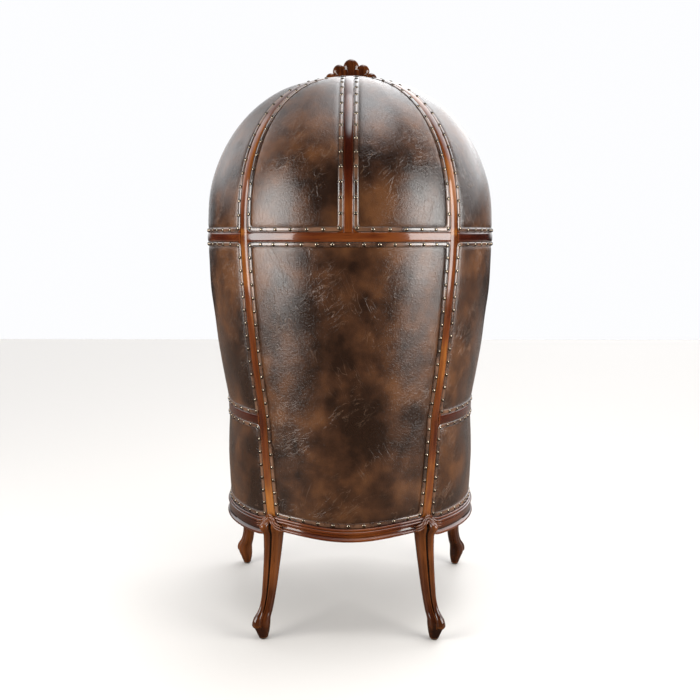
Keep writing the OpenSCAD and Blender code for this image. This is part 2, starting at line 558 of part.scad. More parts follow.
// Puts a child on the surface with its Z axis along the outward normal, or inward
module on_surf(q, r, o, inward = 0) {
    p = surf(q, r, o);
    u = surf(q + 0.5, r, o) - surf(q - 0.5, r, o);
    v = surf(q, r + (r < 0 ? 4 : 0.004), o) - surf(q, r - (r < 0 ? 4 : 0.004), o);
    n = cross(u, v) * (inward ? 1 : -1);
    translate(p) rotate([0, acos(n[2] / norm(n)), atan2(n[1], n[0])]) children();
}
module buttons_half() {
    for (i = [0:6], j = [0:3]) let (z = 560 + i * 78, q = (j + (i % 2) / 2) * 13)
        if (q < 40 && q > 0) on_surf(q, z - band_z, lining_in - 2 * lay, 1) button();
    for (i = [0:4], j = [0:5])
        let (z = 716 + i * 78, q = 47 + (j + (i % 2) / 2) * 13, r = z - band_z)
        if (q < front_q(r) - 8) on_surf(q, r, lining_in - 2 * lay, 1) button();
}
module tuft_buttons() color("saddlebrown") {
    left() buttons_half();
    right() buttons_half();
    left() for (i = [0:2:6]) on_surf(0, 560 + i * 78 - band_z, lining_in - 2 * lay, 1) button();
}

// ---- Gimp and nails ----
module gimp(rows, qa, qb, cols, top = true) {
    n = len(rows) - 1;
    lo = step(rows[0], gimp_w);
    hi = top ? step(rows[n], -gimp_w) : rows[n];
    gap = rows[0] < 0 ? butt : 0.001;
    inner = [for (i = [1:n - 1]) if (rows[i] > lo + 2 * gap && rows[i] < hi - 2 * gap) rows[i]];
    mid = concat([lo + gap], inner, [hi - gap]);
    sheet([rows[0], lo], qa, qb, cols, gimp_in, gimp_out);
    if (top) sheet([hi, rows[n]], qa, qb, cols, gimp_in, gimp_out);
    sheet(mid, qa, function (r) qa(r) + side_step(r, qa, qb, gimp_w, 0.44), 1, gimp_in, gimp_out);
    sheet(mid, function (r) qb(r) - side_step(r, qa, qb, gimp_w, 0.44), qb, 1, gimp_in, gimp_out);
}
module gimp_back() color("peru") left() gimp(panel_rows, back_qa, back_qb, 14);
module gimp_side() {
    gimp(upper_rows, side_qa, wing_qb, 14);
    gimp(lower_rows, side_qa, arm_qb, 14);
}
module gimp_sides() color("peru") {
    left() gimp_side();
    right() gimp_side();
}
rib_rows = [for (i = [0:12]) dome_rows[i]];
module gimp_dome() {
    gimp(dome_rows, rib_qa, rib_qb, 10, false);
    gimp(rib_rows, hood_qa, hood_qb, 18, false);
}
module gimp_hood() color("peru") {
    left() gimp_dome();
    right() gimp_dome();
}
module nail() cylinder(h = 3.4, r1 = nail_d / 2, r2 = nail_d / 4, $fn = 24);
nail_o = gimp_out + 0.5;
// Nails at the pitch along the bottom, top and both sides of a panel
module nails(rows, qa, qb, top = true, mb = gimp_w / 2) {
    n = len(rows) - 1;
    m = gimp_w / 2;
    lo = step(rows[0], m);
    hi = step(rows[n], top ? -m : -3 * m);
    function arc(r, a, b) = (b - a) * PI / 180 * half_b(r) * row_s(r);
    module line(r) {
        a = qa(r) + degs(r, m);
        b = qb(r) - degs(r, m);
        k = max(round(arc(r, a, b) / nail_pitch), 1);
        for (i = [0:k]) on_surf(a + (b - a) * i / k, r, nail_o) nail();
    }
    line(lo);
    if (top) line(hi);
    k = max(round((hi <= 0 ? hi - lo : (hi - lo) * 650) / nail_pitch), 2);
    for (i = [1:k - (top ? 1 : 0)]) let (r = lo + (hi - lo) * i / k) {
        on_surf(qa(r) + side_step(r, qa, qb, m, 0.22), r, nail_o) nail();
        on_surf(qb(r) - side_step(r, qa, qb, mb, 0.22), r, nail_o) nail();
    }
}
module nails_half() {
    nails(upper_rows, side_qa, wing_qb, true, gimp_w * 0.57);
    nails(lower_rows, side_qa, arm_qb);
    nails(dome_rows, rib_qa, rib_qb, false);
    nails(rib_rows, hood_qa, hood_qb, false);
}
module upholstery_nails() color("darkgoldenrod") {
    left() nails(panel_rows, back_qa, back_qb);
    left() nails_half();
    right() nails_half();
}

rear_seat_rail();
side_seat_rail_left();
side_seat_rail_right();
front_seat_rail();
rear_leg_left();
rear_leg_right();
front_leg_left();
front_leg_right();
rear_stile_left();
rear_stile_right();
rear_band();
side_band_left();
side_band_right();
centre_rib();
dome_rib_left();
dome_rib_right();
crown_rib();
dome_boss();
arm_rail_left();
arm_rail_right();
arch_left();
arch_right();
wing_post_left();
wing_post_right();
arm_support_left();
arm_support_right();
arm_cap_left();
arm_cap_right();
crest();
back_panel();
dome_panel_rear_left();
dome_panel_rear_right();
dome_panel_side_left();
dome_panel_side_right();
side_panel_upper_left();
side_panel_upper_right();
side_panel_lower_left();
side_panel_lower_right();
inside_back();
inside_wing_left();
inside_wing_right();
inside_arm_left();
inside_arm_right();
inside_hood_left();
inside_hood_right();
arm_pad_left();
arm_pad_right();
seat_frame();
frame_screws();
seat_webbing();
seat_springs();
seat_deck();
dust_cover();
seat_cushion();
gimp_back();
gimp_sides();
gimp_hood();
upholstery_nails();
tuft_buttons();
foot_glides();
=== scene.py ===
import math

import bpy
import numpy as np
from mathutils import Matrix, Vector


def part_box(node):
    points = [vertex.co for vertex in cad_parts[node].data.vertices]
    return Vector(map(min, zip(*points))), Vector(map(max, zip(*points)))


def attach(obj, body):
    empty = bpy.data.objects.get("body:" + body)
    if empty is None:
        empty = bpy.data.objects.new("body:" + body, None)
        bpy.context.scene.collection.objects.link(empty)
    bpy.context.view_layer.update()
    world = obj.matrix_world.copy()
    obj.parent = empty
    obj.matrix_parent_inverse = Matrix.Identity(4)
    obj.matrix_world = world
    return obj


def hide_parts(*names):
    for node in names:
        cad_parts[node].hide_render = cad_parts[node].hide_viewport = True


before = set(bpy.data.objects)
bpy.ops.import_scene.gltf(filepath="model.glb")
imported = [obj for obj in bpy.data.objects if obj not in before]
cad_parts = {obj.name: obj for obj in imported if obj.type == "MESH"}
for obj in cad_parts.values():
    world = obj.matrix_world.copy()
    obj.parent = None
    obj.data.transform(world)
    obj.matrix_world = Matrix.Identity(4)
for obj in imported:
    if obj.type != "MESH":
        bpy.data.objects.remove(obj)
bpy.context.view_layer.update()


# ---- Studio -----------------------------------------------------------------------------
# A pale matte floor, two tall soft boxes behind the chair and a bright ceiling and far wall,
# which the polished leather and wood mirror. The camera stands behind the chair.
def deselect():
    bpy.ops.object.select_all(action="DESELECT")


def new_material(name):
    """An empty material with a Principled shader on its output."""
    material = bpy.data.materials.new(name)
    material.use_nodes = True
    nodes = material.node_tree.nodes
    nodes.clear()
    shader = nodes.new("ShaderNodeBsdfPrincipled")
    output = nodes.new("ShaderNodeOutputMaterial")
    material.node_tree.links.new(shader.outputs["BSDF"], output.inputs["Surface"])
    return material, shader


def plug(tree, node, **settings):
    """Sets a node up; names that start with in_ are its inputs, as values or links."""
    for key in [k for k in settings if not k.startswith("in_")]:
        setattr(node, key, settings[key])
    for key in [k for k in settings if k.startswith("in_")]:
        label, value = key[3:].replace("_", " "), settings[key]
        socket = node.inputs[int(label)] if label.isdigit() else node.inputs[label]
        if isinstance(value, bpy.types.NodeSocket):
            tree.links.new(value, socket)
        else:
            socket.default_value = value
    return node


def add(tree, kind, **settings):
    """A new node, set up."""
    return plug(tree, tree.nodes.new(kind), **settings)


def ranged(tree, value, low, high, to_low=0.0, to_high=1.0):
    """A value carried smoothly from the range low to high into the range to_low to to_high."""
    return add(
        tree, "ShaderNodeMapRange", interpolation_type="SMOOTHSTEP", in_Value=value, in_1=low, in_2=high,
        in_3=to_low, in_4=to_high,
    ).outputs[0]


def calc(tree, operation, a, b=0.0, c=0.0):
    """The result of one step of arithmetic."""
    return add(tree, "ShaderNodeMath", operation=operation, in_0=a, in_1=b, in_2=c).outputs[0]


def blend(tree, share, a, b):
    """A colour that goes from a to b with the share."""
    return add(tree, "ShaderNodeMix", data_type="RGBA", in_0=share, in_6=a, in_7=b).outputs[2]


deselect()
bpy.ops.mesh.primitive_plane_add(size=14)
floor = bpy.context.object
floor.name = "floor"
floor_with_dark_reflection, shader = new_material("floor_with_dark_reflection")
tree = floor_with_dark_reflection.node_tree
# Painted reflection: rays mirrored in the chair see the floor painted dark brown, while the camera sees it
# pale.
mirror_ray = add(tree, "ShaderNodeLightPath").outputs["Is Glossy Ray"]
floor_tone_and_painted_reflection = blend(tree, mirror_ray, (0.62, 0.60, 0.575, 1), (0.075, 0.042, 0.022, 1))
plug(tree, shader, in_Base_Color=floor_tone_and_painted_reflection, in_Roughness=0.6)
floor.data.materials.append(floor_with_dark_reflection)

world = bpy.data.worlds.new("studio")
bpy.context.scene.world = world
world.use_nodes = True
sky = world.node_tree
sky.nodes.clear()
look = add(sky, "ShaderNodeSeparateXYZ", in_0=add(sky, "ShaderNodeTexCoord").outputs["Generated"])
# The ceiling and the upper walls are brighter towards the two sides than between them
ceiling = ranged(sky, look.outputs["Z"], 0.87, 0.96, 0.0, 2.6)
upper = calc(sky, "MULTIPLY", ranged(sky, look.outputs["Z"], 0.08, 0.30, 0.0, 1.0),
             ranged(sky, look.outputs["Y"], -0.45, 0.05, 1.25, 0.0))
slant = calc(sky, "MAXIMUM", ranged(sky, look.outputs["X"], -0.15, 0.22, 2.0, 0.45),
             ranged(sky, look.outputs["X"], 0.42, 0.60, 0.0, 1.30))
upper = calc(sky, "MULTIPLY", upper, slant)
ceiling = calc(sky, "MULTIPLY", ceiling, slant)
far_wall = calc(sky, "MULTIPLY", ranged(sky, look.outputs["Y"], -0.97, -0.80, 0.9, 0.0),
                ranged(sky, look.outputs["Z"], -0.05, 0.05))
bright = calc(sky, "MAXIMUM", ceiling, calc(sky, "MAXIMUM", upper, far_wall))
# What is left of the room is a dim fill for mirrored rays, and the camera sees a plain pale wall
path = add(sky, "ShaderNodeLightPath")
fill = ranged(sky, path.outputs["Is Glossy Ray"], 0.0, 1.0, 0.32, 0.022)
lit = calc(sky, "ADD", bright, fill)
strength = add(sky, "ShaderNodeMix", in_0=path.outputs["Is Camera Ray"], in_2=lit, in_3=1.0).outputs[0]
glow = add(sky, "ShaderNodeBackground", in_Color=(0.98, 0.985, 1.0, 1), in_Strength=strength)
add(sky, "ShaderNodeOutputWorld", in_Surface=glow.outputs[0])

LAMP_REACH = 2.6
for side, bearing, power in ((1, math.radians(61), 70), (-1, math.radians(64), 76)):
    lamp = bpy.data.lights.new("soft_box", "AREA")
    lamp.shape = "RECTANGLE"
    lamp.size = 1.8
    lamp.size_y = 1.75
    lamp.energy = power
    lamp.color = (1.0, 0.985, 0.96)
    box = bpy.data.objects.new("soft_box", lamp)
    box.location = (side * LAMP_REACH * math.sin(bearing), LAMP_REACH * math.cos(bearing) + 0.1, 1.42)
    box.rotation_euler = (Vector((0, 0, 1.1)) - box.location).to_track_quat("-Z", "Y").to_euler()
    box.visible_camera = False
    bpy.context.collection.objects.link(box)

FRAME_SIDE, FOCAL_LENGTH = 700, 893
PITCH = math.radians(7.21)
camera = bpy.data.objects.new("camera", bpy.data.cameras.new("camera"))
bpy.context.collection.objects.link(camera)
bpy.context.scene.camera = camera
camera.data.sensor_width = 36
camera.data.lens = FOCAL_LENGTH / FRAME_SIDE * camera.data.sensor_width
camera.location = (-0.030, 2.6500, 1.105)
heading = Vector((-0.0035, 0.2916, 0)) - camera.location
heading.z = -math.hypot(heading.x, heading.y) * math.tan(PITCH)
camera.rotation_euler = heading.to_track_quat("-Z", "Y").to_euler()
bpy.context.scene.view_settings.view_transform = "Standard"


# ---- Seat rails -------------------------------------------------------------------------
# Moulded rails of polished mahogany run round the seat under the leather: a double reed on
# top, a cove and a bottom bead. The back rail is serpentine, and all are tenoned to the legs.
BAND_Z = 1.105
# Half width, half depth and height of the hood over its band, and the power of its full oval
HOOD_A, HOOD_B, HOOD_C = 0.418, 0.413, 0.456
HOOD_N = 2.2
FULLNESS = 2 / HOOD_N
# Half width at the seat, and metres forward for each degree past the side
LOW_A = 0.364
PER = 0.0073
HOOD_Y = -0.0314
RAIL_TOP = 0.333
HANDS = ((1, "left"), (-1, "right"))


def ease(t):
    """Goes smoothly from 0 to 1 while t does."""
    t = np.clip(t, 0, 1)
    return t * t * (3 - 2 * t)


def fall(r, k, h):
    """How far the body has drawn in at row r below the band."""
    d = np.minimum(r, 0)
    return k * d * d / (h - d)


def half_b(r):
    """Half depth of the body at row r."""
    return HOOD_B - fall(r, 0.067, 0.2)


def spread(w):
    """Share of the plan that is left at share w of the hood's arc."""
    return np.cos(np.clip(w, 0, 1) * np.pi / 2) ** FULLNESS


def climb(w):
    """Share of the hood's height at share w of its arc."""
    return np.sin(np.clip(w, 0, 1) * np.pi / 2) ** FULLNESS


def rail_rise(q):
    """Height of the serpentine rail over its own level, q degrees round from the back."""
    q = np.abs(q)
    middle = -0.004 + 0.007 * (1 - np.cos(np.pi * q / 34))
    return np.where(q < 34, middle, 0.010 * (1 - ease((q - 34) / 10)))


def surf(q, r, o=0.0):
    """A point of the body: q degrees round from the back, r metres below the band, or above it
    a share of the hood's arc, and o metres outward. Past 90 degrees it runs straight forward."""
    q, r, o = np.broadcast_arrays(np.asarray(q, float), np.asarray(r, float), np.asarray(o, float))
    s = np.where(r > 0, spread(r), 1.0)
    up = np.where(r > 0, climb(r), 0.0)
    g = 1 - 0.03 * (np.maximum(q - 90, 0) / 45) ** 2
    t = np.radians(np.minimum(q, 90))
    half_a = np.maximum(LOW_A, HOOD_A - fall(r, 0.145, 0.148))
    x = (half_a + o) * s * np.sin(t) * g
    y = np.where(q <= 90, (half_b(r) + o) * s * np.cos(t), -(q - 90) * PER)
    low = np.clip((0.395 - BAND_Z - r) / (0.395 - RAIL_TOP - 0.0004), 0, 1)
    z = np.where(r > 0, BAND_Z + (HOOD_C + o) * up * g, BAND_Z + r + rail_rise(q) * low)
    return np.stack([x, y + HOOD_Y, z], -1)


def mirrored(points, side=-1):
    """The points on the left side as they are, or mirrored for the right side."""
    return np.asarray(points) * (side, 1, 1)


def volume(points, faces):
    """Six times the volume inside a skin, below 0 if its faces are turned inward."""
    corners = np.array([(f[0], f[i], f[i + 1]) for f in faces for i in range(1, len(f) - 1)])
    a, b, c = (points[corners[:, k]] for k in range(3))
    return np.einsum("ij,ij->i", a - points[0], np.cross(b - points[0], c - points[0])).sum()


def right_way(points, faces, uvs):
    """The same closed skin with its faces turned outward."""
    points = np.asarray(points, float)
    if volume(points, faces) > 0:
        return points, faces, uvs
    turned, places, at = [], [], 0
    for f in faces:
        turned.append(tuple(reversed(f)))
        places += reversed(uvs[at : at + len(f)])
        at += len(f)
    return points, turned, places


def sweep(rings, closed=False):
    """A closed section carried along a line, with texture places in metres along and around."""
    n, m = rings.shape[:2]
    middle = rings.mean(1)
    if closed:
        middle = np.concatenate([middle, middle[:1]])
    along = np.concatenate([[0], np.cumsum(np.linalg.norm(np.diff(middle, axis=0), axis=1))])
    loop = np.concatenate([rings[n // 2], rings[n // 2][:1]])
    around = np.concatenate([[0], np.cumsum(np.linalg.norm(np.diff(loop, axis=0), axis=1))])
    faces, uvs = [], []
    for i in range(n if closed else n - 1):
        i2 = (i + 1) % n
        for j in range(m):
            k = (j + 1) % m
            faces.append((i * m + j, i * m + k, i2 * m + k, i2 * m + j))
            u0, u1, v0, v1 = along[i], along[i + 1], around[j], around[j + 1]
            uvs += [(u0, v0), (u0, v1), (u1, v1), (u1, v0)]
    if not closed:
        faces.append(tuple(range(m - 1, -1, -1)))
        faces.append(tuple((n - 1) * m + j for j in range(m)))
        for ring in (rings[0][::-1], rings[-1]):
            uvs += [(0.2 * p[2], p[0] + p[1]) for p in ring]
    return right_way(rings.reshape(-1, 3), faces, uvs)


def mark_hollows(mesh):
    """Stores how hollow the surface is at each point, up to 1 in a groove and -1 on an edge."""
    count = len(mesh.vertices)
    places, normals = np.empty(count * 3), np.empty(count * 3)
    ends = np.empty(len(mesh.edges) * 2, int)
    mesh.vertices.foreach_get("co", places)
    mesh.vertices.foreach_get("normal", normals)
    mesh.edges.foreach_get("vertices", ends)
    places, normals, ends = places.reshape(-1, 3), normals.reshape(-1, 3), ends.reshape(-1, 2)
    bend, edges = np.zeros(count), np.zeros(count)
    for a, b in (ends.T, ends.T[::-1]):
        step = places[b] - places[a]
        rise = np.einsum("ij,ij->i", step, normals[a]) / np.maximum(np.linalg.norm(step, axis=1), 1e-7)
        np.add.at(bend, a, rise)
        np.add.at(edges, a, 1)
    bend = np.clip(2.2 * bend / np.maximum(edges, 1), -1, 1)
    layer = mesh.attributes.new("Hollow", "FLOAT", "POINT")
    layer.data.foreach_set("value", bend.astype(np.float32))


def pick(*pieces):
    """Selects these pieces alone, the first as the active one."""
    deselect()
    for piece in pieces:
        piece.select_set(True)
    bpy.context.view_layer.objects.active = pieces[0]


def finish(piece, material, nodes=(), body="chair", angle=40):
    """Smooths a piece, gives it its finish and sets it on its body in place of CAD nodes."""
    if "wood" in material.name:
        mark_hollows(piece.data)
    pick(piece)
    piece.data.materials.clear()
    piece.data.materials.append(material)
    bpy.ops.object.shade_smooth_by_angle(angle=math.radians(angle))
    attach(piece, body)
    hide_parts(*nodes)
    deselect()
    return piece


def make(name, shape):
    """An object from a skin: its points, faces and texture places."""
    points, faces, uvs = shape
    mesh = bpy.data.meshes.new(name)
    mesh.from_pydata(points.tolist(), [], faces)
    layer = mesh.uv_layers.new(name="UVMap")
    layer.data.foreach_set("uv", np.asarray(uvs, np.float32).ravel())
    piece = bpy.data.objects.new(name, mesh)
    bpy.context.collection.objects.link(piece)
    return piece


def stand_in(node, shape, material, angle=40):
    """A new piece that takes the place of one CAD node."""
    return finish(make(f"{node}.look", shape), material, [node], angle=angle)


def effect(name, inputs, outputs):
    """A shader node group with named inputs, as (name, default), and named outputs."""
    group = bpy.data.node_groups.new(name, "ShaderNodeTree")
    kinds = {float: "NodeSocketFloat", 3: "NodeSocketVector", 4: "NodeSocketColor"}
    for label, default in inputs:
        kind = kinds[float if isinstance(default, float) else len(default)]
        group.interface.new_socket(name=label, in_out="INPUT", socket_type=kind).default_value = default
    for label in outputs:
        group.interface.new_socket(name=label, in_out="OUTPUT", socket_type="NodeSocketFloat")
    return group, group.nodes.new("NodeGroupInput"), group.nodes.new("NodeGroupOutput")


def tones(tree, value, stops):
    """A colour for a value, blended between stops, each a place and its colour."""
    made = tree.nodes.new("ShaderNodeValToRGB")
    elements = made.color_ramp.elements
    while len(elements) < len(stops):
        elements.new(0.5)
    for element, (place, colour) in zip(elements, stops):
        element.position = place
        element.color = (*colour, 1)
    tree.links.new(value, made.inputs[0])
    return made.outputs[0]


def moved_by(tree, operation, place, by):
    """A place in the texture, added to or multiplied by another."""
    return add(tree, "ShaderNodeVectorMath", operation=operation, in_0=place, in_1=by).outputs[0]


def noise(tree, place, scale, detail, **more):
    """The value of a noise texture at a place."""
    return add(
        tree, "ShaderNodeTexNoise", in_Vector=place, in_Scale=scale, in_Detail=detail, **more
    ).outputs[0]


def bumped(tree, height, strength, distance):
    """A surface direction for a height."""
    return add(
        tree, "ShaderNodeBump", in_Height=height, in_Strength=strength, in_Distance=distance
    ).outputs[0]


wood_grain, entry, leave = effect("wood_grain", [("Place", (0.0, 0.0, 0.0))], ["Figure", "Pores"])
drawn = moved_by(wood_grain, "MULTIPLY", entry.outputs[0], (5, 85, 1))
pores = ranged(wood_grain, noise(wood_grain, drawn, 5.0, 2.0), 0.56, 0.72)
plug(wood_grain, leave, in_Figure=noise(wood_grain, drawn, 1.0, 5.0), in_Pores=pores)


def polished_wood(name, dark, mid, light, coat=1.0):
    """Polished wood with its grain along the piece, with painted shade in its grooves and a painted
    highlight, partly edge wear, on its edges.
    """
    material, shader = new_material(name)
    tree = material.node_tree
    places = add(tree, "ShaderNodeTexCoord")
    grain = add(tree, "ShaderNodeGroup", node_tree=wood_grain, in_Place=places.outputs["UV"])
    patch = noise(tree, places.outputs["Object"], 4.5, 2.0)
    tone = calc(tree, "MULTIPLY_ADD", patch, 0.85, -0.08)
    tone = calc(tree, "MULTIPLY_ADD", grain.outputs["Figure"], 0.3, tone)
    base = tones(tree, tone, [(0.37, dark), (0.50, mid), (0.64, light)])
    fill = calc(tree, "MULTIPLY", grain.outputs["Pores"], 0.5)
    # A dark tone for the pores, also laid into the grooves as painted shade.
    deep = (*(c * 0.3 for c in dark), 1)
    base = blend(tree, fill, base, deep)
    hollow = add(tree, "ShaderNodeAttribute", attribute_name="Hollow").outputs["Fac"]
    # Painted shade: grooves found by the Hollow attribute are darkened towards the dark pore tone.
    groove_shade = ranged(tree, hollow, 0.06, 0.40, 0.0, 0.95)
    base = blend(tree, groove_shade, base, deep)
    # Painted highlight, partly edge wear: rounded edges are lightened towards the light tone.
    edge_highlight_and_wear = ranged(tree, hollow, -0.08, -0.5, 0.0, 0.55)
    base = blend(tree, edge_highlight_and_wear, base, (*light, 1))
    rough = ranged(tree, patch, 0.3, 0.7, 0.13, 0.23)
    normal = bumped(tree, grain.outputs["Figure"], 0.08, 0.0008)
    plug(tree, shader, in_Base_Color=base, in_Roughness=rough, in_Normal=normal, in_Coat_Weight=coat,
         in_Coat_Roughness=0.08, in_Specular_IOR_Level=0.25)
    return material


show_wood = polished_wood(
    "show_wood", (0.027, 0.0041, 0.0015), (0.062, 0.0098, 0.0024), (0.150, 0.038, 0.0070)
)


def bead(o, h, radius, start, stop, count=7):
    """Points of a bead about offset o and height h, from angle start to stop, 0 being outward."""
    turn = np.radians(np.linspace(start, stop, count))
    return [(o + radius * math.cos(t), h + radius * math.sin(t)) for t in turn]


def rail_section(deep):
    """Offset and height of the rail's face and back, from its top down to its depth."""
    return np.array(
        [(-0.028, 0.0), (-0.001, 0.0)]
        + bead(0.0015, -0.0036, 0.0036, 85, -55)
        + bead(0.0042, -0.0106, 0.0036, 75, -75)
        + [(0.0032, -0.0160), (0.0012, -0.0200), (0.0008, -0.5 * deep), (0.0022, -deep + 0.0125)]
        + [(0.0050, -deep + 0.0098)]
        + bead(0.0050, -deep + 0.0048, 0.0044, 80, -88)
        + [(-0.028, -deep)]
    )


def rail(q0, q1):
    """A stretch of the rail from q0 to q1 degrees, deeper past the rear legs."""
    rings = []
    for q in np.linspace(q0, q1, int(q1 - q0) + 2):
        section = rail_section(float(0.036 + 0.014 * ease((abs(q) - 30) / 9)))
        ring = surf(q, RAIL_TOP + section[:, 1] - BAND_Z, section[:, 0])
        ring[:, 2] = RAIL_TOP + float(rail_rise(q)) + section[:, 1]
        rings.append(ring)
    return np.array(rings)


stand_in("rear_seat_rail", sweep(rail(-36, 36)), show_wood)
for side, hand in HANDS:
    shape = sweep(mirrored(rail(36, 90 + 0.296 / PER), side))
    stand_in(f"side_seat_rail_{hand}", shape, show_wood)

RAIL_OUT = 0.0090


def apron_y(x):
    """How far the front rail stands forward of the hood's middle."""
    return 0.344 - 0.024 * (1 - np.cos(np.pi * x / 0.32))


rings = []
for x in np.linspace(-0.3097, 0.3097, 49):
    section = rail_section(0.046)
    y = HOOD_Y - apron_y(x) - np.minimum(section[:, 0], RAIL_OUT)
    rings.append(np.stack([np.full(len(section), x), y, RAIL_TOP + section[:, 1]], -1))
stand_in("front_seat_rail", sweep(np.array(rings)), show_wood)


# ---- Legs -------------------------------------------------------------------------------
# Four cabriole legs of darker mahogany, carved from the solid. A round bead with a quirk on
# each side runs down the outer corner and spreads into a tongue on the toe, over a block foot.
# Three carved reeds arch over each rear leg, where the rail meets it.
leg_wood = polished_wood(
    "leg_wood", (0.013, 0.0030, 0.0012), (0.040, 0.0085, 0.0022), (0.165, 0.046, 0.0085), coat=0.7
)
TOE_TOP, TONGUE_END = 0.036, 0.058


def joined(parts):
    """Several skins as one."""
    points, faces, uvs, at = [], [], [], 0
    for p, f, t in parts:
        points.append(p)
        faces += [tuple(i + at for i in face) for face in f]
        uvs += list(t)
        at += len(p)
    return np.concatenate(points), faces, uvs


def unit(vectors):
    """The same directions, each one metre long."""
    return vectors / np.linalg.norm(vectors, axis=-1)[..., None]


def through(z, table):
    """Smooth values at heights z through a table of stations, each a height and its values."""
    t = np.asarray(table, float)
    x, y = t[:, 0], t[:, 1:]
    slope = np.gradient(y, x, axis=0)
    i = np.clip(np.searchsorted(x, z) - 1, 0, len(x) - 2)
    h = (x[i + 1] - x[i])[:, None]
    u = (z - x[i])[:, None] / h
    rest = (1 - u) ** 2
    start = (1 + 2 * u) * rest * y[i] + u * rest * h * slope[i]
    return start + u * u * (3 - 2 * u) * y[i + 1] + u * u * (u - 1) * h * slope[i + 1]


def leg_section(full, tongue):
    """Half section from the outer corner to the inner one; full is how far the bead stands."""
    radius = 0.165 + 0.10 * tongue
    centre = 0.46 - 0.09 * tongue
    turn = np.radians(np.linspace(0, 138, 8))
    bead_u = np.concatenate([centre + radius * np.cos(turn), [0.292, 0.352, 0.322]])
    bead_v = np.concatenate([radius * np.sin(turn), [0.160 + 0.06 * tongue, 0.240, 0.285]])
    corner = np.linspace(0, 1, len(bead_u))
    plain_u = 0.315 + 0.245 * (1 - corner) ** 0.92
    plain_v = 0.285 * corner
    u = plain_u + full * (bead_u - plain_u)
    v = plain_v + full * (bead_v - plain_v)
    back = np.array([(0.24, 0.35), (0.13, 0.44), (0.0, 0.485), (-0.14, 0.475), (-0.27, 0.42),
                     (-0.38, 0.32), (-0.46, 0.19), (-0.5, 0.06)])
    half = np.concatenate([np.stack([u, v], -1), back])
    return np.concatenate([half, (half * (1, -1))[:0:-1]])


def leg(table, x, y, turn):
    """table: height, run in x, run in y and width; turn: bearing of the outer corner."""
    low, high = table[0][0], table[-1][0]
    heights = np.linspace(low, high, int((high - low) / 0.004) + 2)
    rings = []
    for z, (dx, dy, w) in zip(heights, through(heights, table)):
        section = leg_section(ease((z - TOE_TOP) / 0.007), 1 - ease((z - TONGUE_END) / 0.035)) * w
        u, v = section[:, 0], section[:, 1]
        t = math.radians(turn)
        px = x + dx + u * math.sin(t) - v * math.cos(t)
        py = y + dy + u * math.cos(t) + v * math.sin(t)
        rings.append(np.stack([px, py, np.full(len(u), z)], -1))
    return np.array(rings)


rear_stations = [
    (z, 0.68 * out, 0.76 * out, w)
    for z, out, w in [
        (0.005, 0, 0.026), (0.026, 0.003, 0.040), (0.044, 0.006, 0.049), (0.062, 0.003, 0.047),
        (0.082, -0.009, 0.041), (0.105, -0.017, 0.039), (0.150, -0.026, 0.042), (0.200, -0.033, 0.046),
        (0.250, -0.039, 0.051), (0.290, -0.042, 0.056), (0.332, -0.044, 0.058), (0.338, -0.048, 0.038),
    ]
]
front_stations = [
    (0.005, 0, 0, 0.026), (0.026, 0.003, -0.003, 0.040), (0.044, 0.007, -0.006, 0.049),
    (0.062, 0.006, -0.005, 0.047), (0.082, -0.002, 0.003, 0.041), (0.105, -0.007, 0.005, 0.039),
    (0.150, -0.010, 0.003, 0.042), (0.200, -0.012, -0.008, 0.046), (0.250, -0.013, -0.020, 0.051),
    (0.290, -0.015, -0.030, 0.056), (0.332, -0.016, -0.034, 0.058),
]
for side, hand in HANDS:
    shape = sweep(mirrored(leg(rear_stations, 0.237, 0.323 + HOOD_Y, 40), side))
    stand_in(f"rear_leg_{hand}", shape, leg_wood)
    shape = sweep(mirrored(leg(front_stations, 0.355, -0.256 + HOOD_Y, 130), side))
    stand_in(f"front_leg_{hand}", shape, leg_wood)


def knuckle_reed(k):
    """The reed k places below the top one: a thin rod that arches over a rear leg on the rail."""
    t = np.linspace(-1, 1, 33)
    q = 36.0 + 7.0 * t
    z = 0.3290 + 0.0185 * np.exp(-((t / 0.38) ** 2)) - 0.0068 * k - 0.004 * t * t
    line = surf(q, -0.70, 0.0042 + 0.0068 * ease((0.3400 - z) / 0.012))
    line[:, 2] = z
    out = unit(surf(q, -0.70, 1.0) - surf(q, -0.70, 0.0))
    up = np.cross(unit(np.gradient(line, axis=0)), out)
    radius = 0.0033 * (1 - 0.6 * np.abs(t) ** 4)
    turn = np.linspace(0, 2 * np.pi, 10, endpoint=False)[:, None]
    ring = np.cos(turn) * out[:, None] + np.sin(turn) * up[:, None]
    return line[:, None] + radius[:, None, None] * ring


reeds = [sweep(mirrored(knuckle_reed(k), side)) for k in range(3) for side in (1, -1)]
finish(make("leg_knuckles.look", joined(reeds)), leg_wood, angle=60)


# ---- Stiles, bands and ribs -------------------------------------------------------------
# The frame of the back and hood: mahogany strips with rounded edges stand between the leather
# panels on a wider hidden base. Two stiles and the dome ribs run up, the waist band runs round.
STRIP, RIB_HALF = 0.0122, 0.0128
BASE_IN = -0.028
BASE_OUT = -0.0085
LEDGE = 0.028
BUTT = 0.0003


def row_at(height):
    """Row of a height above the band in metres; below it the row is the height itself."""
    height = np.asarray(height, float)
    share = np.clip(height, 0, HOOD_C) / HOOD_C
    return np.where(height > 0, np.arcsin(share ** (HOOD_N / 2)) * 2 / np.pi, height)


def row_of(s):
    """Row at which share s of the hood's plan is left."""
    return np.arccos(np.clip(s, 0, 1) ** (HOOD_N / 2)) * 2 / np.pi


def degs(r, across):
    """Degrees round the back that a length spans at row r."""
    s = np.where(np.asarray(r) > 0, spread(r), 1.0)
    return np.degrees(across / (half_b(r) * np.maximum(s, 0.1)))


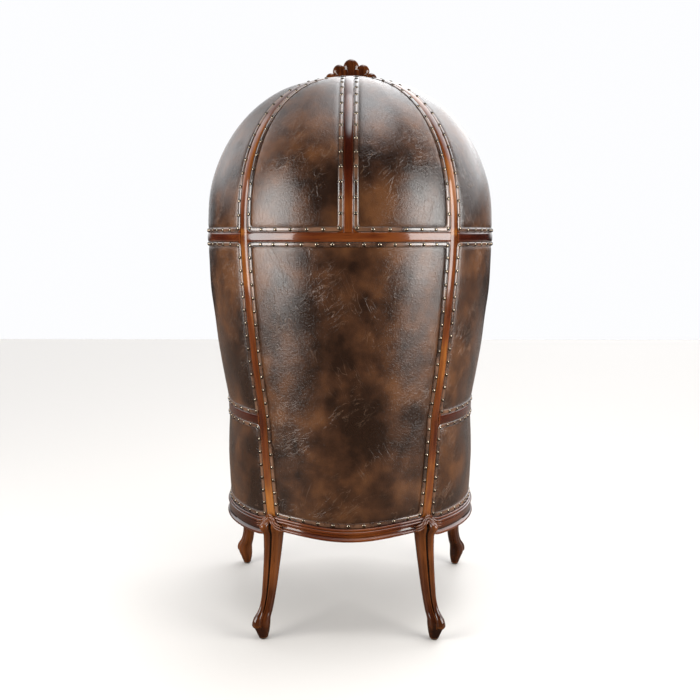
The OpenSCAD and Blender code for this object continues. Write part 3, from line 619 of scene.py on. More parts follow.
def stile_q(r):
    """Where the middle of a rear stile or dome rib stands at row r."""
    r = np.asarray(r, float)
    return np.where(r > 0, 41.5 + 5 * r, 41.5 - 5.6 * (np.maximum(-r - 0.305, 0) / 0.470) ** 1.5)


def stile_half(r):
    """Half width of a rear stile, which widens a little downward."""
    return RIB_HALF + 0.002 * np.clip(-np.asarray(r, float) / 0.7, 0, 1)


def strip_section(half):
    """Across and offset of a show strip: a flat crown with rounded edges."""
    edge = [(half, BASE_OUT), (half, -0.0016), (half - 0.0006, -0.0006), (half - 0.0018, 0.0001)]
    crown = [(half - 0.0045, 0.0005), (0.35 * half, 0.0009)]
    right = edge + crown
    return np.array(right + [(-a, o) for a, o in reversed(right)])


def base_section(half):
    """The wider base under a strip, which the leather is fixed on."""
    lo = half + LEDGE
    return np.array([(lo, BASE_IN), (lo, BASE_OUT), (-lo, BASE_OUT), (-lo, BASE_IN)])


def up_rings(rows, centre, half, section, most=90.0):
    """Sections of a member that runs up the body, at most so many degrees wide where it narrows."""
    rings = []
    for r in rows:
        s = section(float(half(r)))
        turn = np.clip(degs(r, s[:, 0]), -most, most)
        rings.append(surf(centre(r) + turn, r, s[:, 1]))
    return np.array(rings)


def round_rings(height, section, start, stop, count):
    """Sections of a member that runs round the body at a height above the band."""
    s = section(STRIP)
    rows = row_at(height + s[:, 0])
    a, b = start(rows), stop(rows)
    return np.array([surf(a + (b - a) * t, rows, s[:, 1]) for t in np.linspace(0, 1, count)])


BOSS_R = 0.066
band_top = float(row_at(STRIP + BUTT))
boss_row = float(row_of((BOSS_R + BUTT) / HOOD_B))
stile_rows = np.concatenate([np.linspace(-0.7706, -0.02, 76), [0.0, float(row_at(STRIP))]])
rib_rows = np.linspace(band_top, boss_row, 56)
worn_wood = polished_wood(
    "worn_wood", (0.046, 0.0080, 0.0020), (0.125, 0.029, 0.0050), (0.32, 0.110, 0.016), coat=0.8
)
for side, hand in HANDS:
    parts = [up_rings(stile_rows, stile_q, stile_half, s) for s in (strip_section, base_section)]
    shape = joined([sweep(mirrored(p, side)) for p in parts])
    stand_in(f"rear_stile_{hand}", shape, worn_wood)
    parts = [
        up_rings(rib_rows, stile_q, lambda r: RIB_HALF, strip_section, 40),
        up_rings(rib_rows, stile_q, lambda r: RIB_HALF, base_section, 20),
    ]
    shape = joined([sweep(mirrored(p, side)) for p in parts])
    stand_in(f"dome_rib_{hand}", shape, worn_wood)

parts = [
    up_rings(rib_rows, lambda r: 0.0, lambda r: STRIP, strip_section, 40),
    up_rings(rib_rows[2:], lambda r: 0.0, lambda r: STRIP, base_section, 20),
]
stand_in("centre_rib", joined([sweep(p) for p in parts]), show_wood)


def edge_of_stile(r):
    """Outer edge of a rear stile."""
    return stile_q(r) + degs(r, stile_half(r) + BUTT)


def base_of_stile(r):
    """Outer edge of a rear stile's base."""
    return stile_q(r) + degs(r, stile_half(r) + LEDGE + BUTT)


def inner_edge(r):
    """Inner edge of a rear stile."""
    return stile_q(r) - degs(r, stile_half(r) + BUTT)


def inner_base(r):
    """Inner edge of a rear stile's base."""
    return stile_q(r) - degs(r, stile_half(r) + LEDGE + BUTT)


ARCH_FORE, WING_FORE = 0.350, 0.062
ARM_Z, ARM_FORE = 0.610, 0.272
EDGE_W = 0.034


def front_q(r):
    """Where the front edge of a wing or of the hood stands at row r."""
    height = np.where(np.asarray(r) > 0, 0.0, r) + BAND_Z
    fore = WING_FORE + (ARCH_FORE - WING_FORE) * ease((height - 0.600) / (BAND_Z - 0.645))
    return 90 + fore / PER


parts = [
    round_rings(0.0, strip_section, lambda r: -inner_edge(r), inner_edge, 41),
    round_rings(0.0, base_section, lambda r: -inner_base(r), inner_base, 41),
]
stand_in("rear_band", joined([sweep(p) for p in parts]), show_wood)
band_parts = [
    round_rings(0.0, strip_section, edge_of_stile, lambda r: front_q(r) - (EDGE_W + BUTT) / PER, 61),
    round_rings(0.0, base_section, base_of_stile, lambda r: front_q(r) - (EDGE_W + LEDGE) / PER, 61),
]


def under_section(half):
    """The arm rail's base, which has a ledge below only."""
    lo = -half - LEDGE
    return np.array([(half, BASE_IN), (half, BASE_OUT), (lo, BASE_OUT), (lo, BASE_IN)])


def arm_q(r):
    """Where the side ends in front, beside the arm support."""
    return 90 + (ARM_FORE - BUTT) / PER + 0 * r


arm_parts = [
    round_rings(ARM_Z - BAND_Z, strip_section, edge_of_stile, arm_q, 61),
    round_rings(ARM_Z - BAND_Z, under_section, base_of_stile, lambda r: 90 + 0.243 / PER + 0 * r, 61),
]
for side, hand in HANDS:
    for name, parts in (("side_band", band_parts), ("arm_rail", arm_parts)):
        shape = joined([sweep(mirrored(p, side)) for p in parts])
        stand_in(f"{name}_{hand}", shape, show_wood)


def crown(x, q, o):
    """A point of the hood's top line band, x metres from the middle."""
    g = 1 - 0.03 * ((q - 90) / 45) ** 2
    a = (HOOD_A + o) * g
    z = BAND_Z + (HOOD_C + o) * g * (1 - (np.abs(x) / a) ** HOOD_N) ** (1 / HOOD_N)
    return np.stack([x, np.full(len(x), HOOD_Y - (q - 90) * PER), z], -1)


rings = {strip_section: [], base_section: []}
for q in np.linspace(90 + (BOSS_R + BUTT) / PER, 90 + (ARCH_FORE - EDGE_W - BUTT) / PER, 25):
    for section, found in rings.items():
        s = section(STRIP)
        found.append(crown(s[:, 0], q, s[:, 1]))
rings[base_section] = rings[base_section][:-2]
shape = joined([sweep(np.array(found)) for found in rings.values()])
stand_in("crown_rib", shape, show_wood)


def turned(profile, sides=48):
    """A turned piece, drawn up from a disc through each (radius, height) of its profile."""
    deselect()
    radius, height = profile[0]
    bpy.ops.mesh.primitive_circle_add(
        vertices=sides, radius=radius, fill_type="NGON", location=(0, 0, height)
    )
    piece = bpy.context.object
    bpy.ops.object.transform_apply(location=True, rotation=True, scale=True)
    bpy.ops.object.mode_set(mode="EDIT")
    bpy.ops.mesh.select_all(action="SELECT")
    for r, h in profile[1:]:
        bpy.ops.mesh.extrude_region_move(TRANSFORM_OT_translate={"value": (0, 0, h - height)})
        bpy.ops.transform.resize(value=(r / radius, r / radius, 1))
        radius, height = r, h
    bpy.ops.mesh.select_all(action="SELECT")
    bpy.ops.mesh.normals_make_consistent(inside=False)
    bpy.ops.object.mode_set(mode="OBJECT")
    return piece


boss = turned([(0.0615, -0.028), (0.0656, -0.006), (0.0650, -0.0022), (0.0628, -0.0004), (0.0585, 0.0004),
               (0.0560, -0.0006), (0.0535, 0.0004), (0.0480, 0.0012), (0.0300, 0.0020), (0.0215, 0.0024),
               (0.0200, 0.0014), (0.0185, 0.0022), (0.0165, 0.0045), (0.0130, 0.0066), (0.0080, 0.0082),
               (0.0030, 0.0089)])
boss.name = "dome_boss.look"
boss.data.transform(Matrix.Translation((0, HOOD_Y, BAND_Z + HOOD_C)))


def grain_along(piece, axis):
    """Texture places on a solid piece so that its grain runs along one axis."""
    mesh = piece.data
    layer = mesh.uv_layers.active or mesh.uv_layers.new(name="UVMap")
    across = [k for k in range(3) if k != axis]
    for loop in mesh.loops:
        p = mesh.vertices[loop.vertex_index].co
        layer.data[loop.index].uv = (p[axis], p[across[0]] + p[across[1]])


grain_along(boss, 0)
finish(boss, show_wood, ["dome_boss"])


# ---- Hood arch, wing posts and crest ----------------------------------------------------
# The front edge of the hood is a moulded mahogany arch in two halves, carried down by the
# wing posts. A carved shell crest of seven lobes is glued and dowelled on the arch.
def edge_section():
    """Back from the front edge, and offset: base ledge, outer face, nosing and inner lip."""
    out = 0.008
    return np.array([
        (-0.062, -0.028), (-0.0200, -0.028), (-0.0200, -0.0595), (-0.0030, -0.0600), (0.0, -0.0570),
        (0.0, -0.0520), (-0.0022, -0.0500), (-0.0030, -0.0440), (-0.0040, -0.0260), (-0.0034, -0.0100),
        (-0.0022, -0.0050), (0.0, -0.0034), (0.0, out - 0.0050), (-0.0014, out - 0.0016),
        (-0.0050, out), (-0.0110, out - 0.0006), (-0.0124, out - 0.0024), (-0.0140, out - 0.0010),
        (-0.0200, out), (-0.0262, out - 0.0012), (-0.0310, out - 0.0034), (-0.0336, out - 0.0080),
        (-0.0340, -0.0080), (-0.062, -0.0080),
    ])


def edge_rings(rows):
    """Sections of the front edge, up the wing post or the arch."""
    s = edge_section()
    return np.array([surf(front_q(r) + s[:, 0] / PER, r, s[:, 1]) for r in rows])


arch_rows = np.concatenate([
    [float(row_at(BUTT))], np.linspace(0.05, 0.90, 44), row_of(np.array([0.12, 0.08, 0.05, 0.02, 0.0008])),
])
wing_rows = np.linspace(ARM_Z + STRIP + 0.0023 - BAND_Z, -BUTT, 56)
for side, hand in HANDS:
    for name, rows in (("arch", arch_rows), ("wing_post", wing_rows)):
        shape = sweep(mirrored(edge_rings(rows), side))
        stand_in(f"{name}_{hand}", shape, show_wood)

crest_low, crest_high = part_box("crest")
crest_y = (crest_low.y + crest_high.y) / 2


def lobe(x, z, radius, tilt, length):
    """One rounded lobe of the shell, drawn out towards the foot of the fan."""
    deselect()
    bpy.ops.mesh.primitive_uv_sphere_add(segments=24, ring_count=14, radius=1)
    piece = bpy.context.object
    m = np.array([v.co for v in piece.data.vertices])
    taper = 1 - 0.55 * np.clip((0.25 - m[:, 2]) / 1.25, 0, 1) ** 1.3
    m[:, 0] *= radius * taper
    m[:, 1] *= 0.0108 * (0.5 + 0.5 * taper)
    m[:, 2] *= np.where(m[:, 2] > 0, radius, length)
    t = math.radians(tilt)
    turn = np.array([[math.cos(t), 0, math.sin(t)], [0, 1, 0], [-math.sin(t), 0, math.cos(t)]])
    m = m @ turn.T + (x, crest_y, z)
    for vertex, place in zip(piece.data.vertices, m):
        vertex.co = place
    return piece


def soften(piece, width, segments):
    """Rounds a piece's sharp edges."""
    pick(piece)
    edge = piece.modifiers.new("edge", "BEVEL")
    edge.width = width
    edge.segments = segments
    edge.limit_method = "ANGLE"
    edge.angle_limit = math.radians(30)
    bpy.ops.object.modifier_apply(modifier="edge")


crest_parts = [lobe(0, 1.6560, 0.0262, 0, 0.084)]
for s in (1, -1):
    crest_parts += [
        lobe(s * 0.0390, 1.6440, 0.0212, s * 30, 0.084), lobe(s * 0.0655, 1.6185, 0.0195, s * 56, 0.080),
        lobe(s * 0.0820, 1.5965, 0.0150, s * 77, 0.078),
    ]
fan = [(0.0, 1.6600), (0.0180, 1.6500), (0.0360, 1.6480), (0.0480, 1.6350), (0.0640, 1.6210),
       (0.0760, 1.6030)]
fan += [(float(x), float(z)) for x, _, z in crown(np.linspace(0.094, 0.0, 9), 90 + 0.326 / PER, 0.0084)]
fan += [(-x, z) for x, z in fan[-2:0:-1]]
fan = np.array([[(x, crest_y + t, z) for x, z in fan] for t in (-0.0082, 0.0082)])
foot = make("crest_foot", sweep(fan))
soften(foot, 0.0055, 3)
pick(*crest_parts, foot)
bpy.ops.object.join()
crest = bpy.context.object
crest.name = "crest.look"
bpy.ops.object.transform_apply(location=True, rotation=True, scale=True)
grain_along(crest, 2)
finish(crest, leg_wood, ["crest"])


# ---- Arm supports and caps --------------------------------------------------------------
# A swept and reeded post of mahogany carries each arm in front, and a tongue behind it holds
# the side leather. A wooden cap with a rounded edge lies on each arm, under the leather pad.
def sway(z):
    """How far the post sways forward at height z."""
    return 0.008 * math.sin(2 * math.pi * (z - 0.332) / (ARM_Z - 0.332))


EDGE_X = LOW_A * (1 - 0.03 * (ARM_FORE / PER / 45) ** 2)
support_rings = []
for z in np.linspace(RAIL_TOP + BUTT, 0.622, 49):
    s = sway(z)
    k = 0.004 * ease((z - 0.40) / 0.05) * ease((0.58 - z) / 0.05)
    front = [
        (-0.046, -0.272), (-0.046, -0.3135 - s), (-0.0435, -0.3175 - s), (-0.0385, -0.3165 - s),
        (-0.0355, -0.3150 - s + k), (-0.0300, -0.3180 - s + k), (-0.0200, -0.3195 - s + k),
        (-0.0165, -0.3180 - s + k), (-0.0135, -0.3235 - s), (-0.0100, -0.3250 - s), (-0.0055, -0.3225 - s),
        (-0.0010, -0.3160 - s), (0.0, -0.3110 - s), (-0.0010, -0.3060 - s), (-0.0030, -0.3020 - s),
        (-0.0030, -0.2840), (0.0, -0.2800), (0.0, -0.272),
    ]
    support_rings.append([(EDGE_X + x, y + HOOD_Y, z) for x, y in front])
support_rings = np.array(support_rings)
tongue_rows = np.linspace(-0.7696, ARM_Z - STRIP - 2 * BUTT - BAND_Z, 24)
tongue_section = np.array([(-0.028, -0.028), (0.001, -0.028), (0.001, -0.008), (-0.028, -0.008)])
tongue = np.array([
    surf(90 + (ARM_FORE + tongue_section[:, 0]) / PER, r, tongue_section[:, 1]) for r in tongue_rows
])
for side, hand in HANDS:
    shape = joined([sweep(mirrored(support_rings, side)), sweep(mirrored(tongue, side))])
    stand_in(f"arm_support_{hand}", shape, show_wood)


def copy_of(node, name):
    """A clean mesh of a CAD node, to work on further."""
    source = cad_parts[node]
    piece = bpy.data.objects.new(name, source.data.copy())
    bpy.context.collection.objects.link(piece)
    pick(piece)
    bpy.ops.object.mode_set(mode="EDIT")
    bpy.ops.mesh.select_all(action="SELECT")
    bpy.ops.mesh.remove_doubles(threshold=0.00005)
    bpy.ops.mesh.dissolve_limited(angle_limit=math.radians(1))
    bpy.ops.object.mode_set(mode="OBJECT")
    return piece


for side, hand in HANDS:
    cap = copy_of(f"arm_cap_{hand}", f"arm_cap_{hand}.look")
    soften(cap, 0.0065, 5)
    grain_along(cap, 1)
    finish(cap, show_wood, [f"arm_cap_{hand}"])


# ---- Leather panels ---------------------------------------------------------------------
# Thick brown hide is stretched over padding in each opening of the frame. It swells beside the
# wood, is mottled dark and tan by age, and is creased in clusters of fine slanting lines.
leather_skin, entry, leave = effect(
    "leather_skin", [("Place", (0.0, 0.0, 0.0)), ("Size", 1.0)], ["Mottle", "Crease", "Grain"]
)
scaled = add(
    leather_skin, "ShaderNodeVectorMath", operation="SCALE", in_0=entry.outputs[0], in_3=entry.outputs[1]
).outputs[0]
broad = noise(leather_skin, scaled, 6.0, 3.0)
cloud = noise(leather_skin, scaled, 20.0, 4.0)
creases = []
for lean, size, shift, thin in ((0.55, 6.0, 0.0, 0.010), (-0.45, 9.0, 4.0, 0.012), (0.95, 15.0, 9.0, 0.016)):
    moved = moved_by(leather_skin, "ADD", scaled, (shift, shift, shift))
    leant = add(leather_skin, "ShaderNodeVectorRotate", rotation_type="Y_AXIS",
                in_Vector=moved, in_Angle=lean).outputs[0]
    drawn = moved_by(leather_skin, "MULTIPLY", leant, (4.2, 2.0, 1.0))
    run = noise(leather_skin, drawn, size, 3.0, in_Roughness=0.55, in_Distortion=0.6)
    off_line = calc(leather_skin, "ABSOLUTE", calc(leather_skin, "SUBTRACT", run, 0.5))
    line = ranged(leather_skin, off_line, 0.0, thin, 1.0, 0.0)
    clusters = ranged(leather_skin, noise(leather_skin, moved, 7.0, 2.0), 0.53, 0.66)
    creases.append(calc(leather_skin, "MULTIPLY", line, clusters))
crease = calc(leather_skin, "MAXIMUM", calc(leather_skin, "MAXIMUM", *creases[:2]), creases[2])
mottle = calc(leather_skin, "MULTIPLY_ADD", broad, 0.75, calc(leather_skin, "MULTIPLY", cloud, 0.40))
rumple = noise(leather_skin, scaled, 190.0, 3.0, in_Roughness=0.6, in_Distortion=0.7)
ridge = calc(leather_skin, "ABSOLUTE", calc(leather_skin, "SUBTRACT", rumple, 0.5))
grain = calc(leather_skin, "MINIMUM", calc(leather_skin, "MULTIPLY", ridge, 5.0), 1.0)
plug(leather_skin, leave, in_Mottle=mottle, in_Crease=crease, in_Grain=grain)


def polished_leather(name, dark, mid, light, shine):
    """Glossy waxed leather, mottled between three tones, with fine creases whose pale colour is partly
    crackle in the hide and partly a painted highlight.
    """
    material, shader = new_material(name)
    tree = material.node_tree
    places = add(tree, "ShaderNodeTexCoord")
    skin = add(tree, "ShaderNodeGroup", node_tree=leather_skin, in_Place=places.outputs["Object"])
    base = tones(tree, skin.outputs["Mottle"], [(0.47, dark), (0.575, mid), (0.71, light)])
    # Pale crease colour: partly crackle in the hide, partly a painted highlight of the light that the raised
    # wrinkles catch.
    share = calc(tree, "MULTIPLY", skin.outputs["Crease"], 0.20)
    base = blend(tree, share, base, (0.26, 0.16, 0.10, 1))
    rough = ranged(tree, skin.outputs["Mottle"], 0.4, 0.75, shine, shine + 0.12)
    height = calc(tree, "MULTIPLY_ADD", skin.outputs["Grain"], 0.70, skin.outputs["Crease"])
    height = calc(tree, "MULTIPLY_ADD", skin.outputs["Mottle"], 1.2, height)
    normal = bumped(tree, height, 0.36, 0.0010)
    plug(tree, shader, in_Base_Color=base, in_Roughness=rough, in_Normal=normal, in_Coat_Normal=normal,
         in_IOR=1.25, in_Coat_Weight=1.0, in_Coat_Roughness=0.14)
    return material


panel_leather = polished_leather(
    "panel_leather", (0.0165, 0.0066, 0.0031), (0.047, 0.0180, 0.0072), (0.105, 0.0400, 0.0130), 0.27
)


class Opening:
    """One opening of the frame: turns shares or metres from its edges into places on the body."""

    def __init__(self, low, high, qa, qb, shift=None):
        self.low, self.high, self.qa, self.qb, self.shift = low, high, qa, qb, shift
        self.up = np.linspace(0, 1, 181)
        grid = self.spot(np.linspace(0, 1, 41)[:, None], self.up[None, :])
        steps = np.linalg.norm(np.diff(grid, axis=0), axis=-1)
        self.width = steps.sum(0)
        if high <= 0:
            self.rise = self.up * (high - low)
        else:
            run = np.linalg.norm(np.diff(grid[12], axis=0), axis=-1)
            self.rise = np.concatenate([[0], np.cumsum(run)])
        self.height = self.rise[-1]
        # How much longer a step in from each side edge gets where the edge runs aslant
        self.slant = []
        for edge, row in ((grid[0], grid[1] - grid[0]), (grid[-1], grid[-1] - grid[-2])):
            square = np.linalg.norm(np.cross(unit(np.gradient(edge, axis=0)), unit(row)), axis=1)
            self.slant.append(1 / np.maximum(square, 0.35))

    def spot(self, a, b, o=0.0):
        """The place at shares a across and b up, o metres off the body's own surface."""
        a, b = np.broadcast_arrays(np.asarray(a, float), np.asarray(b, float))
        r = self.low + (self.high - self.low) * b
        q = self.qa(r) + (self.qb(r) - self.qa(r)) * a
        if self.shift:
            r = self.shift(q, b, r)
        return surf(q, r, o)

    def share(self, x, y, right=False, top=False):
        """Shares across and up, x metres in from one side edge and y metres in from one end."""
        y = np.minimum(y, 0.49 * self.height)
        b = np.interp(self.height - y if top else y, self.rise, self.up)
        slant = np.interp(b, self.up, self.slant[1 if right else 0])
        a = np.minimum(x * slant / np.interp(b, self.up, self.width), 0.5)
        return (1 - a if right else a), b

    def normal(self, a, b):
        """The outward direction at shares a and b."""
        d = 0.004
        u = self.spot(min(a + d, 1), b) - self.spot(max(a - d, 0), b)
        v = self.spot(a, min(b + d, 1)) - self.spot(a, max(b - d, 0))
        n = np.cross(v, u)
        return n / np.linalg.norm(n)


LOW_ROW = RAIL_TOP + 0.0004 - BAND_Z
UP_EDGE = STRIP + BUTT
ARM_TOP = ARM_Z + UP_EDGE - BAND_Z
ARM_BOT = ARM_Z - UP_EDGE - BAND_Z


def wing_edge(r):
    """Where the leather ends in front, beside the hood's arch or a wing post."""
    return front_q(r) - (EDGE_W + BUTT) / PER


def top_share(q, half=UP_EDGE, radius=BOSS_R + BUTT):
    """Share of the plan at the upper edge of the side dome, round the boss and along the crown rib."""
    y = (q - 90) * PER
    fore = half + (radius - half) * (1 - ease((y - radius) / 0.05))
    g = 1 - 0.03 * (np.maximum(q - 90, 0) / 45) ** 2
    return np.where(q <= 90, radius * HOOD_A / HOOD_B, fore) / (HOOD_A * g)


dome_low, dome_high = band_top, float(row_of((BOSS_R + 2 * BUTT) / HOOD_B))


def side_dome_row(q, b, r):
    """Row of a place on the side dome, whose upper edge bends from the boss to the crown rib."""
    return r + (row_of(top_share(q)) - dome_high) * b ** 3


openings = {
    "back_panel": Opening(LOW_ROW, -UP_EDGE, lambda r: -inner_edge(r), inner_edge),
    "side_panel_upper": Opening(ARM_TOP, -UP_EDGE, edge_of_stile, wing_edge),
    "side_panel_lower": Opening(LOW_ROW, ARM_BOT, edge_of_stile, arm_q),
    "dome_panel_rear": Opening(dome_low, dome_high, lambda r: degs(r, UP_EDGE),
                               lambda r: stile_q(r) - degs(r, RIB_HALF + BUTT)),
    "dome_panel_side": Opening(dome_low, dome_high, lambda r: stile_q(r) + degs(r, RIB_HALF + BUTT),
                               wing_edge, side_dome_row),
}


def skin(outer, inner, places):
    """A closed shell between two grids of points."""
    n, m = outer.shape[:2]
    index = np.arange(n * m).reshape(n, m)
    front = np.stack([index[:-1, :-1], index[:-1, 1:], index[1:, 1:], index[1:, :-1]], -1).reshape(-1, 4)
    rim = np.concatenate([index[0, :-1], index[:-1, -1], index[-1, :0:-1], index[:0:-1, 0]])
    after = np.roll(rim, -1)
    walls = np.stack([after, rim, rim + n * m, after + n * m], -1)
    faces = np.concatenate([front, front[:, ::-1] + n * m, walls])
    points = np.concatenate([outer.reshape(-1, 3), inner.reshape(-1, 3)])
    uv = np.concatenate([places.reshape(-1, 2)] * 2)[faces.ravel()]
    return right_way(points, [tuple(f) for f in faces.tolist()], [tuple(p) for p in uv.tolist()])


def spaced(length):
    """Distances across a panel, close together where the hide rises beside the gimp."""
    near = [0.0, 0.0065, 0.0115, 0.0128, 0.0138, 0.015, 0.0168, 0.019, 0.022, 0.026, 0.032]
    near = [d for d in near if d < 0.5 * length - 0.002]
    gap = length - 2 * near[-1]
    count = max(int(round(gap / 0.013)), 1)
    middle = [near[-1] + gap * k / count for k in range(1, count)]
    return np.array(near + middle + [length - d for d in near[::-1]])


def soft_waves(points, size, seed):
    """Slow unevenness of stuffed leather: a sum of waves in fixed random directions."""
    rng = np.random.default_rng(seed)
    total = np.zeros(points.shape[:-1])
    for k in range(9):
        direction = rng.normal(size=3)
        direction /= np.linalg.norm(direction)
        length = size * rng.uniform(0.6, 1.7)
        total += np.sin(2 * np.pi * (points @ direction) / length + rng.uniform(0, 6.28))
    return total / 4.0


def hide(opening, seed):
    """The seen side and the back of a stretched panel, and the texture places of both."""
    mean = float(opening.width.mean())
    xs = spaced(mean) / mean
    ys = spaced(opening.height)
    b = np.interp(ys, opening.rise, opening.up)
    wide = np.interp(b, opening.up, opening.width)[:, None]
    slants = [np.interp(b, opening.up, s)[:, None] for s in opening.slant]
    # Columns lie in metres from the side edges near them, and in even shares between
    left = np.minimum(xs * mean * slants[0] / wide, 0.5)
    right = 1 - np.minimum((1 - xs) * mean * slants[1] / wide, 0.5)
    t = ease((xs - 0.25) / 0.5)
    beside = left * (1 - t) + right * t
    k = ease((np.minimum(xs, 1 - xs) * mean - 0.03) / 0.08)
    a = np.where(wide > 0.13, beside * (1 - k) + xs * k, xs)
    b = np.repeat(b[:, None], len(xs), 1)
    from_side = np.minimum(a * wide / slants[0], (1 - a) * wide / slants[1])
    from_end = np.minimum(ys, opening.height - ys)[:, None]
    off_edge = np.minimum(from_side, from_end)
    soft = -0.006 * np.log(np.exp(-from_side / 0.006) + np.exp(-from_end / 0.006))
    near = np.clip((soft - 0.0118) / 0.016, 0, 1)
    puff = 0.0022 * (1 - (1 - near) ** 2.6) * (off_edge > 0.0117)
    middle = 0.0050 * ease((soft - 0.004) / 0.15)
    wave = 0.0009 * soft_waves(opening.spot(a, b), 0.16, seed) * ease((off_edge - 0.014) / 0.05)
    places = np.stack([a * wide, np.repeat(ys[:, None], len(xs), 1)], -1)
    return opening.spot(a, b, -0.0032 + puff + middle + wave), opening.spot(a, b, -0.0072), places


def sides_of(kind):
    """Side and name of each piece of a kind: one at the back, or one on each side."""
    return [(1, kind)] if "back" in kind else [(side, f"{kind}_{hand}") for side, hand in HANDS]


for kind, opening in openings.items():
    outer, inner, places = hide(opening, len(kind))
    for side, name in sides_of(kind):
        shape = skin(mirrored(outer, side), mirrored(inner, side), places)
        piece = stand_in(name, shape, panel_leather, angle=50)


# ---- Gimp and nails ---------------------------------------------------------------------
# A flat band of lighter leather, creased along both edges with painted shade in the creases, covers the raw
# edge of each panel.
# Domed antique brass nails fix it at about 40 mm pitch, one of them in each corner. Small
# fillets of show wood fill the frame's corners outside the rounded band.
GIMP_W = 0.0135
gimp_leather, shader = new_material("gimp_leather")
tree = gimp_leather.node_tree
places = add(tree, "ShaderNodeTexCoord")
across = add(tree, "ShaderNodeSeparateXYZ", in_0=places.outputs["UV"]).outputs["Y"]
off = calc(tree, "ABSOLUTE", calc(tree, "SUBTRACT", across, 0.5))
# Painted shade: a near-black line along each edge crease of the band.
groove_shade = calc(tree, "MULTIPLY", ranged(tree, off, 0.35, 0.39), ranged(tree, off, 0.48, 0.44))
skin_marks = add(tree, "ShaderNodeGroup", node_tree=leather_skin, in_Size=1.6,
                 in_Place=places.outputs["Object"])
base = tones(tree, skin_marks.outputs["Mottle"], [
    (0.48, (0.030, 0.0145, 0.009)), (0.57, (0.078, 0.034, 0.017)), (0.68, (0.16, 0.072, 0.033))])
base = blend(tree, calc(tree, "MULTIPLY", groove_shade, 0.9), base, (0.006, 0.003, 0.002, 1))
rough = ranged(tree, skin_marks.outputs["Mottle"], 0.4, 0.75, 0.20, 0.34)
normal = bumped(tree, skin_marks.outputs["Mottle"], 0.2, 0.001)
plug(tree, shader, in_Base_Color=base, in_Roughness=rough, in_Normal=normal, in_IOR=1.65,
     in_Coat_Weight=1.0, in_Coat_Roughness=0.14)

GIMP_LANES = [
    (0.0001, -0.0012), (0.0004, -0.0006), (0.0010, -0.0005), (0.0015, -0.0009), (0.0021, -0.0004),
    (0.0042, 0.0002), (0.0068, 0.0004), (0.0094, 0.0002), (0.0115, -0.0004), (0.0121, -0.0009),
    (0.0126, -0.0005), (0.0132, -0.0006), (0.0136, -0.0012), (0.0136, -0.0029), (0.0001, -0.0029),
]
ROUND = 0.0140
# The corners of an opening in turn, each as at its right and at its top
CORNERS = ((False, False), (True, False), (True, True), (False, True))


def gimp_ring(opening):
    """The band as closed lanes that follow the opening's edge round its rounded corners."""
    wide = opening.width
    counts = [max(int(run / 0.009), 4) for run in (wide[0], opening.height, wide[-1], opening.height)]
    arc = np.linspace(0, np.pi / 2, 6)
    lanes = []
    for w, o in GIMP_LANES:
        curve = ROUND - 0.35 * w
        lane = []
        for k, (right, top) in enumerate(CORNERS):
            x, y, start = w + curve * (1 - np.cos(arc)), w + curve * (1 - np.sin(arc)), (w + curve, w)
            if k % 2:
                x, y, start = y, x, start[::-1]
            lane += list(zip(*opening.share(x, y, right, top)))
            a0, b0 = lane[-1]
            right, top = CORNERS[(k + 1) % 4]
            a1, b1 = opening.share(*start, right, top)
            t = np.linspace(0, 1, counts[k] + 1)[1:-1]
            a, b = a0 + (a1 - a0) * t, b0 + (b1 - b0) * t
            if k % 2:
                slant = np.interp(b, opening.up, opening.slant[int(right)])
                away = np.minimum(w * slant / np.interp(b, opening.up, wide), 0.5 * w / GIMP_W)
                a = 1 - away if right else away
            lane += list(zip(a, b))
        lane = np.array(lane)
        lanes.append(opening.spot(lane[:, 0], lane[:, 1], o))
    return np.array(lanes).transpose(1, 0, 2)


def band_places(points, faces, uvs):
    """Texture places with the share across the band second."""
    out, at = [], 0
    for f in faces:
        out += [(uvs[at + k][0], GIMP_LANES[i % len(GIMP_LANES)][0] / GIMP_W) for k, i in enumerate(f)]
        at += len(f)
    return points, faces, out


for name, kinds in {
    "gimp_back": ["back_panel"], "gimp_sides": ["side_panel_upper", "side_panel_lower"],
    "gimp_hood": ["dome_panel_rear", "dome_panel_side"],
}.items():
    parts = []
    for kind in kinds:
        ring = gimp_ring(openings[kind])
        parts += [band_places(*sweep(mirrored(ring, side), closed=True)) for side, _ in sides_of(kind)]
    stand_in(name, joined(parts), gimp_leather, angle=50)

nail_brass, shader = new_material("nail_brass")
tree = nail_brass.node_tree
places = add(tree, "ShaderNodeTexCoord")
dirt = noise(tree, places.outputs["Object"], 220.0, 3.0)
bright = tones(tree, dirt, [
    (0.35, (0.16, 0.13, 0.10)), (0.55, (0.34, 0.28, 0.21)), (0.75, (0.55, 0.46, 0.36))])
# Painted shade: each dome darkens to near black where it turns away from the camera, a dark rim round every
# nail.
rim_shade = ranged(tree, add(tree, "ShaderNodeLayerWeight", in_0=0.5).outputs["Facing"], 0.16, 0.42)
plug(tree, shader, in_Base_Color=blend(tree, rim_shade, bright, (0.022, 0.014, 0.009, 1)),
     in_Roughness=ranged(tree, dirt, 0.3, 0.7, 0.09, 0.17), in_Metallic=1.0)


def stamp(profile, sides):
    """Points and faces of a small turned piece that is set out in numbers."""
    piece = turned(profile, sides)
    points = np.array([v.co for v in piece.data.vertices])
    faces = [tuple(f.vertices) for f in piece.data.polygons]
    bpy.data.objects.remove(piece)
    return points, faces


def set_out(stamped, spots, sides):
    """Copies of a stamped piece at each place, with their axes along its normal, on each side."""
    points, faces = stamped
    blank = [(0, 0)] * sum(map(len, faces))
    parts = []
    for place, normal in spots:
        turn = np.array(Vector(normal).to_track_quat("Z", "Y").to_matrix())
        parts += [right_way(mirrored(points @ turn.T + place, side), faces, blank) for side in sides]
    return parts


